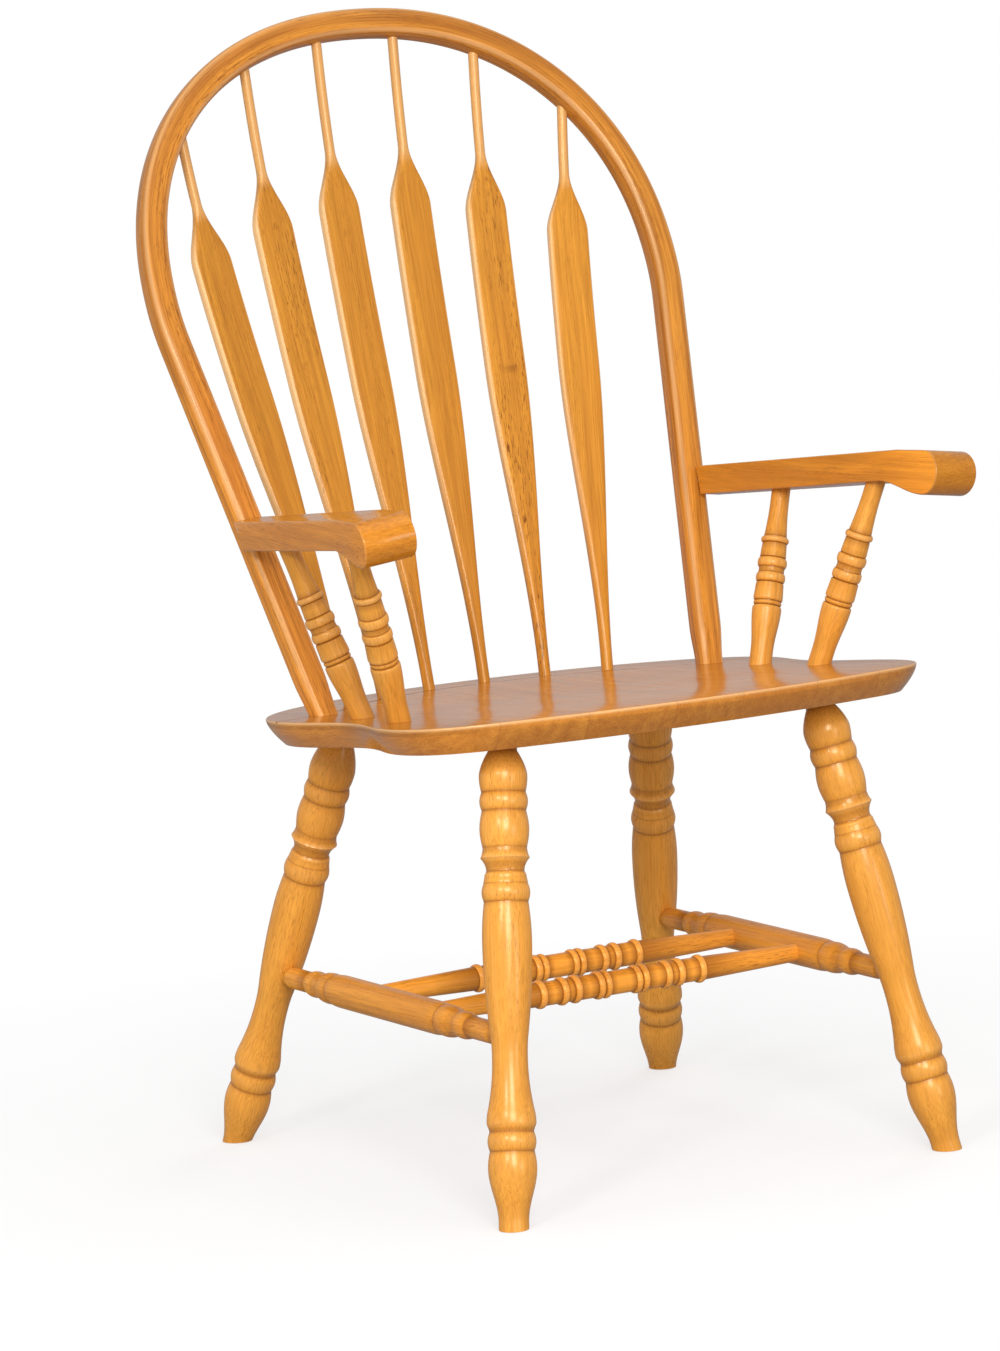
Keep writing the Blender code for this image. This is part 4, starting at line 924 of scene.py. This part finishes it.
def arm_outline():
    """Side view (y, z) of an arm: underside, drop to the nose, round nose, top and sloped rear."""
    nose_y = ARM_NOSE_TIP + ARM_NOSE_RADIUS
    nose_z = arm_underside(nose_y) + ARM_THICKNESS - ARM_NOSE_DROP - ARM_NOSE_RADIUS
    rear_bottom = ARM_REAR - ARM_THICKNESS * math.tan(BOW_RECLINE)
    under = np.linspace(rear_bottom, ARM_SWEEP_START, ARM_STEPS, endpoint=False)
    points = [(y, arm_underside(y)) for y in under]
    for t in np.linspace(0, 1, ARM_SWEEP_STEPS, endpoint=False):
        y = taper(t, ARM_SWEEP_START, nose_y)
        points.append((y, ease(t, arm_underside(ARM_SWEEP_START), nose_z - ARM_NOSE_RADIUS)))
    for angle in np.linspace(0, math.pi, ARM_STEPS, endpoint=False):
        y = nose_y - ARM_NOSE_RADIUS * math.sin(angle)
        points.append((y, nose_z - ARM_NOSE_RADIUS * math.cos(angle)))
    level = nose_y + 2 * ARM_NOSE_RADIUS
    for t in np.linspace(0, 1, ARM_NOSE_TOP_STEPS, endpoint=False):
        y = taper(t, nose_y, level)
        points.append((y, ease(t, nose_z + ARM_NOSE_RADIUS, arm_underside(level) + ARM_THICKNESS)))
    points += [(y, arm_underside(y) + ARM_THICKNESS) for y in np.linspace(level, ARM_REAR, ARM_STEPS)]
    return np.array(points)


def arm_middle(y):
    """The arm's middle and its half width at y."""
    share = (ARM_REAR - y) / (ARM_REAR - ARM_NOSE_TIP)
    middle = taper(share, ARM_REAR_MIDDLE, ARM_FRONT_MIDDLE)
    return middle, taper(share, ARM_REAR_WIDTH, ARM_FRONT_WIDTH) / 2


def make_arm(hand, side, seed):
    """The side view carried across the arm's width, its edges rounded over."""
    outline = arm_outline()
    ahead = np.roll(outline, -1, axis=0) - np.roll(outline, 1, axis=0)
    inward = np.column_stack([ahead[:, 1], -ahead[:, 0]])
    inward /= np.linalg.norm(inward, axis=1, keepdims=True)
    skew = (ARM_FRONT_MIDDLE - ARM_REAR_MIDDLE) / (ARM_REAR - ARM_NOSE_TIP)
    tilt = math.tan(ARM_ROLL)
    angles = np.linspace(0, math.pi / 2, ROUND_STEPS + 1)
    rounding = [(ARM_EDGE_ROUND * (1 - math.sin(a)), ARM_EDGE_ROUND * (1 - math.cos(a))) for a in angles]
    stations = [(-1, *cut) for cut in reversed(rounding)] + [(0, 0.0, 0.0)]
    stations += [(1, *cut) for cut in rounding]
    rings, grain, edge, tone = [], [], [], []
    for face, depth, inset in stations:
        y, z = (outline + inward * inset).T
        middle, half = arm_middle(y)
        out = face * (half - depth)
        lean = tilt * (z - arm_underside(y) - ARM_THICKNESS / 2)
        points = np.column_stack([side * (middle + out + lean), y + out * skew, z - tilt * out])
        rings.append(points)
        grain.append(points[:, [0, 2, 1]] * (ARM_LAYERS, 1, 1))
        edge.append(np.full(len(y), 1.0 if depth > 0 and inset > 0 else 0.0))
        # the nose's own tone, and painted light: the inner face paler towards the nose, the outer face
        # paler all along
        nose = smooth_step((ARM_NOSE_START - y) / ARM_NOSE_RUN)
        if depth > 0 or face == 0:
            tone.append(1 + nose * ARM_NOSE_RISE[hand])
        else:
            tone.append(1 + nose * ARM_INNER_LIGHT if face < 0 else np.full(len(y), ARM_OUTER_LIGHT))
    mesh = skin("arm_" + hand, rings)
    set_grain(mesh, grain, edge, seed, np.concatenate(tone))
    add_piece("arm_" + hand, mesh, "arm_wood")


# Posts
def post_ends(foot, head, side):
    """Where a post's axis meets the seat's top and the arm's underside."""
    out, y = head
    level = arm_underside(y) - math.tan(ARM_ROLL) * out
    reach = arm_middle(y)[0] + out
    return seat_top(side * foot[0], foot[1]), Vector((side * reach, y, level))


def post_stations(length):
    stretch = length / POST_PATTERN
    groove = POST_GROOVE_RADIUS
    peak = POST_RING_RADIUS
    drum = POST_DRUM_RADIUS
    line = SCORE_WIDTH
    score = [(taper, line, groove - SCORE_DEPTH), (taper, line, groove)]
    pattern = [
        (taper, POST_BASE / 2, POST_FOOT_RADIUS),
        (ease, POST_BASE / 2 + POST_FLARE, POST_SHOULDER_RADIUS),
        (flare, POST_SHOULDER - line, groove + SCORE_DEPTH),
        (taper, line, groove - SCORE_DEPTH),
        (ring, POST_BAND, groove, peak - SCORE_DEPTH),
        (taper, line, groove),
        (swell, POST_SHOULDER, peak),
        (taper, POST_BARREL - POST_SHOULDER - 3 * line, groove + SCORE_DEPTH),
        *score,
        (ring, POST_RING, groove, peak),
        (bead, POST_COVE, groove, groove - SCORE_DEPTH / 2),
        (ring, POST_RING, groove, peak),
        *score,
        (taper, POST_DRUM - 3 * line, drum),
        (taper, line, drum - SCORE_DEPTH),
        (ring, POST_DISC, drum - SCORE_DEPTH, POST_DISC_RADIUS),
        (taper, line, drum - SCORE_DEPTH),
        (hollow, POST_NECK - line, POST_HEAD_RADIUS),
    ]
    rest = POST_PATTERN - sum(row[1] for row in pattern)
    cuts = [(taper, POST_TENON, POST_FOOT_RADIUS)]
    cuts += [(shape, run * stretch, *radii) for shape, run, *radii in pattern]
    cuts.append((taper, rest * stretch + POST_TENON, POST_HEAD_RADIUS))
    return turned_profile(POST_FOOT_RADIUS, cuts, POST_TENON)


# Screw plugs
def screw_axis(side):
    level = arm_underside(ARM_REAR) + ARM_THICKNESS / 2
    rise = (level - (bow_place() @ Vector()).z) / math.cos(BOW_RECLINE)
    start = bow_place() @ Vector((side * bow_half_width(rise), rise, 0.0))
    ahead = ARM_REAR - SCREW_LENGTH
    target = Vector((side * arm_middle(ahead)[0], ahead, arm_underside(ahead) + ARM_THICKNESS / 2))
    return start, (target - start).normalized()


def make_plug(hand, side, seed):
    middle, along = screw_axis(side)
    normal = bow_place().to_3x3() @ Vector((0, 0, 1))
    start = middle - along * (BOW_SECTION / abs(along.dot(normal)) + PLUG_PROUD)
    stations = turned_profile(PLUG_RADIUS * PLUG_TOP_SHARE, [
        (swell, PLUG_PROUD, PLUG_RADIUS), (taper, PLUG_HEIGHT - PLUG_PROUD, PLUG_RADIUS),
    ])
    turned("screw_plug_" + hand, stations, start, start + along, "plug_wood", seed)


def make_arms(seed):
    posts = (("front_", FRONT_POST_FOOT, FRONT_POST_HEAD), ("rear_", REAR_POST_FOOT, REAR_POST_HEAD))
    for hand, side in HANDS.items():
        seed += 1
        make_arm(hand, side, seed)
        for place, foot, head in posts:
            seed += 1
            start, end = post_ends(foot, head, side)
            stations = post_stations((end - start).length)
            tone = 1.0 if side > 0 else RIGHT_POST_TONE
            turned("arm_post_" + place + hand, stations, start, end, "post_wood", seed, tone)
        seed += 1
        make_plug(hand, side, seed)


# Materials
class Tree:
    """Short calls for the node tree of a material or of the world."""

    def __init__(self, owner):
        owner.use_nodes = True
        self.owner = owner
        self.nodes = owner.node_tree.nodes
        self.links = owner.node_tree.links

    def feed(self, socket, value):
        if isinstance(value, bpy.types.NodeSocket):
            self.links.new(value, socket)
        else:
            socket.default_value = value

    def node(self, kind, *values, **settings):
        """A new node with these settings, and these values or links in its first sockets."""
        node = self.nodes.new("ShaderNode" + kind)
        for name, setting in settings.items():
            setattr(node, name, setting)
        for socket, value in zip(node.inputs, values):
            self.feed(socket, value)
        return node

    def fill(self, node, values):
        """Put values or links in a node's sockets by their names."""
        for name, value in values.items():
            self.feed(node.inputs[name], value)
        return node

    def attribute(self, name, output="Fac"):
        return self.node("Attribute", attribute_name=name).outputs[output]

    def math(self, operation, a, b=0.0, clamp=False):
        return self.node("Math", a, b, operation=operation, use_clamp=clamp).outputs[0]

    def times(self, a, b, clamp=False):
        return self.math("MULTIPLY", a, b, clamp)

    def vector(self, operation, a, b):
        return self.node("VectorMath", a, b, operation=operation).outputs[0]

    def noise(self, vector, detail=2.0, roughness=0.5):
        node = self.node("TexNoise", vector)
        return self.fill(node, {"Scale": 1.0, "Detail": detail, "Roughness": roughness})

    def streaks(self, grain, across, along, detail, roughness):
        """Noise stretched along the grain: so many waves a metre across it and along it."""
        stretched = self.vector("MULTIPLY", grain, (across, across, along))
        return self.noise(stretched, detail, roughness).outputs[0]

    def span(self, value, low, high, to_low=0.0, to_high=1.0):
        return self.node("MapRange", value, low, high, to_low, to_high).outputs[0]

    def layer(self, grain, across, along, detail, roughness, low, high):
        """Streaks, with the range from low to high spread over 0 to 1."""
        return self.span(self.streaks(grain, across, along, detail, roughness), low, high)

    def mix(self, factor, a, b, blend="MIX"):
        """Sockets 6 and 7 take the colours and output 2 gives their mix."""
        node = self.node("Mix", factor, data_type="RGBA", blend_type=blend)
        self.feed(node.inputs[6], a)
        self.feed(node.inputs[7], b)
        return node.outputs[2]

    def paint(self, colour, mask, amount, paint):
        """Cover a colour with another where the mask is, as far as the amount says."""
        return self.mix(self.times(mask, amount), colour, (*paint, 1.0))

    def seen(self):
        """1 for what the camera sees, directly or through something clear."""
        path = self.node("LightPath").outputs
        return self.math("MAXIMUM", path["Is Camera Ray"], path["Is Transmission Ray"])


def seat_boards(tree, grain):
    """Number of the board at a point, and a mask of the glue lines."""
    x = tree.node("SeparateXYZ", grain).outputs[0]
    board = line = 0.0
    for seam in SEAT_SEAMS:
        board = tree.math("ADD", tree.math("GREATER_THAN", x, seam), board)
        off = tree.math("ABSOLUTE", tree.math("SUBTRACT", x, seam))
        line = tree.math("MAXIMUM", tree.span(off, *SEAT_SEAM_LINE, 1.0, 0.0), line)
    return board, line


def groove_dirt_and_shade(tree, grain):
    """Dark band along the arc of the scribed line: dirt that gathers there, and painted shade."""
    x, up, along = tree.node("SeparateXYZ", grain).outputs
    ahead = tree.math("SUBTRACT", along, SPINDLE_ARC_CENTRE)
    squares = tree.math("ADD", tree.times(x, x), tree.times(ahead, ahead))
    reach = tree.math("POWER", squares, 0.5)
    off = tree.math("ABSOLUTE", tree.math("SUBTRACT", reach, SPINDLE_ARC_RADIUS - GROOVE_SETBACK))
    band = tree.span(off, GROOVE_RADIUS, 3 * GROOVE_RADIUS, 1.0, 0.0)
    inside = tree.math("LESS_THAN", tree.math("ABSOLUTE", x), GROOVE_TURN)
    behind = tree.math("GREATER_THAN", along, GROOVE_SIDE)
    on_top = tree.math("GREATER_THAN", up, -2 * GROOVE_RADIUS)
    return tree.times(tree.times(band, inside), tree.times(behind, on_top))


def scaled(colour, factors):
    return tuple(c * factor for c, factor in zip(colour, factors))


def make_wood(name, light, dark, pores, figure, roughness, gloss, wear_and_highlight, boards):
    """Lacquered wood: figure and fibres along the grain, short dark pores, worn edges and painted edge
    highlights.
    """
    tree = Tree(bpy.data.materials.new(name))
    grain = tree.attribute("grain", "Vector")
    if boards:
        board, seam = seat_boards(tree, grain)
        dirt_and_shade = groove_dirt_and_shade(tree, grain)
        shift = tree.node("CombineXYZ", *(tree.times(board, step) for step in BOARD_STEP))
        grain = tree.vector("ADD", grain, shift.outputs[0])
    drift = tree.noise(tree.vector("MULTIPLY", grain, DRIFT)).outputs["Color"]
    wander = tree.vector("MULTIPLY", tree.vector("SUBTRACT", drift, (0.5, 0.5, 0.5)), WANDER)
    grain = tree.vector("ADD", grain, wander)
    fibres = tree.streaks(grain, *FIBRES)
    pore = tree.times(tree.layer(grain, *PORES), tree.layer(grain, *PORE_PATCHES))
    pore = tree.times(pore, tree.attribute("pores"))
    edge = tree.attribute("edge")

    deep = scaled(dark, DEEP_SHARES)
    pale = tuple(c + (k - c) * PALE_AMOUNT for c, k in zip(light, PALE_WEAR_AND_HIGHLIGHT))
    colour = tree.paint((*light, 1.0), tree.layer(grain, *BANDS), figure, dark)
    colour = tree.paint(colour, tree.layer(grain, *CLOUDS), CLOUD_AMOUNT, scaled(light, WARM_SHARES))
    colour = tree.paint(colour, tree.layer(grain, *LINES), figure * LINE_AMOUNT, dark)
    colour = tree.mix(1.0, colour, tree.span(fibres, *FIBRE_RANGE, *FIBRE_SHADE), "MULTIPLY")
    colour = tree.mix(1.0, colour, tree.attribute("tone"), "MULTIPLY")
    colour = tree.mix(tree.times(pore, pores, clamp=True), colour, (*deep, 1.0))
    # pale worn edges, and painted highlights on edges
    colour = tree.paint(colour, tree.math("MAXIMUM", edge, 0.0), wear_and_highlight, pale)
    sunk = tree.math("MAXIMUM", tree.times(edge, -1.0), 0.0)
    colour = tree.paint(colour, sunk, GROOVE_AMOUNT, deep)
    if boards:
        colour = tree.paint(colour, seam, SEAM_AMOUNT, deep)
        # dirt and painted shade along the seat's groove
        colour = tree.paint(colour, dirt_and_shade, DIRT_AND_SHADE_AMOUNT, deep)

    low, high = FIBRE_ROUGHNESS
    relief = tree.math("SUBTRACT", tree.times(fibres, FIBRE_HEIGHT), tree.times(pore, PORE_DEPTH))
    bump = {"Strength": BUMP_STRENGTH, "Distance": BUMP_DISTANCE, "Height": relief}
    tree.fill(tree.nodes["Principled BSDF"], {
        "Base Color": colour,
        "Roughness": tree.span(fibres, *FIBRE_RANGE, roughness + low, roughness + high),
        "Normal": tree.fill(tree.node("Bump"), bump).outputs[0],
        "Specular IOR Level": gloss,
        "Specular Tint": GLOSS_TINT,
        "Coat Weight": gloss * COAT_SHARE,
        "Coat Roughness": COAT_ROUGHNESS,
    })
    return tree.owner


def make_steel():
    """Zinc-plated steel of the hidden arm screws, with fine turning marks."""
    tree = Tree(bpy.data.materials.new("screw_steel"))
    coordinate = tree.node("TexCoord").outputs["Object"]
    marks = tree.noise(tree.vector("MULTIPLY", coordinate, STEEL_MARKS), detail=3.0).outputs[0]
    tree.fill(tree.nodes["Principled BSDF"], {
        "Base Color": tree.mix(marks, *STEEL_COLOURS),
        "Roughness": tree.span(marks, *FIBRE_RANGE, *STEEL_ROUGHNESS),
        "Metallic": 1.0,
    })
    return tree.owner


# Stage
def make_floor():
    """Pale floor that takes the chair's shadow and fades into the white backdrop."""
    corners = [(x * FLOOR_REACH, y * FLOOR_REACH, 0) for x, y in ((-1, -1), (1, -1), (1, 1), (-1, 1))]
    mesh = bpy.data.meshes.new("floor")
    mesh.from_pydata(corners, [], [(0, 1, 2, 3)])
    tree = Tree(bpy.data.materials.new("floor"))
    mesh.materials.append(tree.owner)
    floor = new_object("floor", mesh)
    floor.location.z = -FLOOR_DROP

    direct = tree.node("LightPath").outputs["Is Camera Ray"]
    matt = tree.fill(tree.nodes["Principled BSDF"], {
        "Base Color": tree.span(direct, 0.0, 1.0, FLOOR_BOUNCE, FLOOR_SEEN),
        "Roughness": FLOOR_ROUGHNESS,
        "Specular IOR Level": 0.0,
    })
    position = tree.node("NewGeometry").outputs["Position"]
    distance = tree.node("VectorMath", position, operation="LENGTH").outputs["Value"]
    glow = tree.times(tree.seen(), tree.span(distance, *FLOOR_FADE, *FLOOR_GLOW))
    blend = tree.node("MixShader", glow, matt.outputs[0], tree.node("Emission").outputs[0])
    tree.fill(tree.nodes["Material Output"], {"Surface": blend.outputs[0]})


def make_world():
    """White room: full white to the camera, dimmer as a light."""
    tree = Tree(bpy.data.worlds.new("studio"))
    bpy.context.scene.world = tree.owner
    level = tree.span(tree.seen(), 0.0, 1.0, ROOM_LIGHT, 1.0)
    tree.fill(tree.nodes["Background"], {"Color": WHITE, "Strength": level})


def add_lamp(name, place, target, size, power, mirrored):
    lamp = bpy.data.lights.new(name, "AREA")
    lamp.size = size
    lamp.energy = power
    holder = new_object(name, lamp)
    holder.location = place
    holder.rotation_euler = (Vector(target) - Vector(place)).to_track_quat("-Z", "Y").to_euler()
    holder.visible_glossy = mirrored


def make_camera():
    camera = bpy.data.cameras.new("camera")
    camera.sensor_width = SENSOR_WIDTH
    camera.lens = CAMERA_FOCAL / max(PHOTO_SIZE) * SENSOR_WIDTH
    camera.shift_x = (PHOTO_SIZE[0] / 2 - CAMERA_CENTRE[0]) / max(PHOTO_SIZE)
    camera.shift_y = (CAMERA_CENTRE[1] - PHOTO_SIZE[1] / 2) / max(PHOTO_SIZE)
    right, up = Vector(CAMERA_RIGHT), Vector(CAMERA_UP)
    turn = Matrix((right, up, right.cross(up))).transposed().to_4x4()
    holder = new_object("camera", camera)
    holder.matrix_world = SLIDE @ Matrix.Translation(CAMERA_PLACE) @ turn
    bpy.context.scene.camera = holder


LOOKS = {name: make_wood(name, *values, boards=name == "seat_wood") for name, values in WOODS.items()}

make_seat(seed=0)
make_base(seed=10)
make_bow(seed=30)
make_spindles(seed=40)
make_arms(seed=50)
steel = make_steel()
for hand in HANDS:
    screw = frame["nodes"]["arm_screw_" + hand]
    screw.data.materials.clear()
    screw.data.materials.append(steel)

make_floor()
make_world()
for name, settings in LAMPS.items():
    add_lamp(name, *settings)
make_camera()
bpy.context.scene.view_settings.view_transform = "Standard"

bpy.context.view_layer.update()
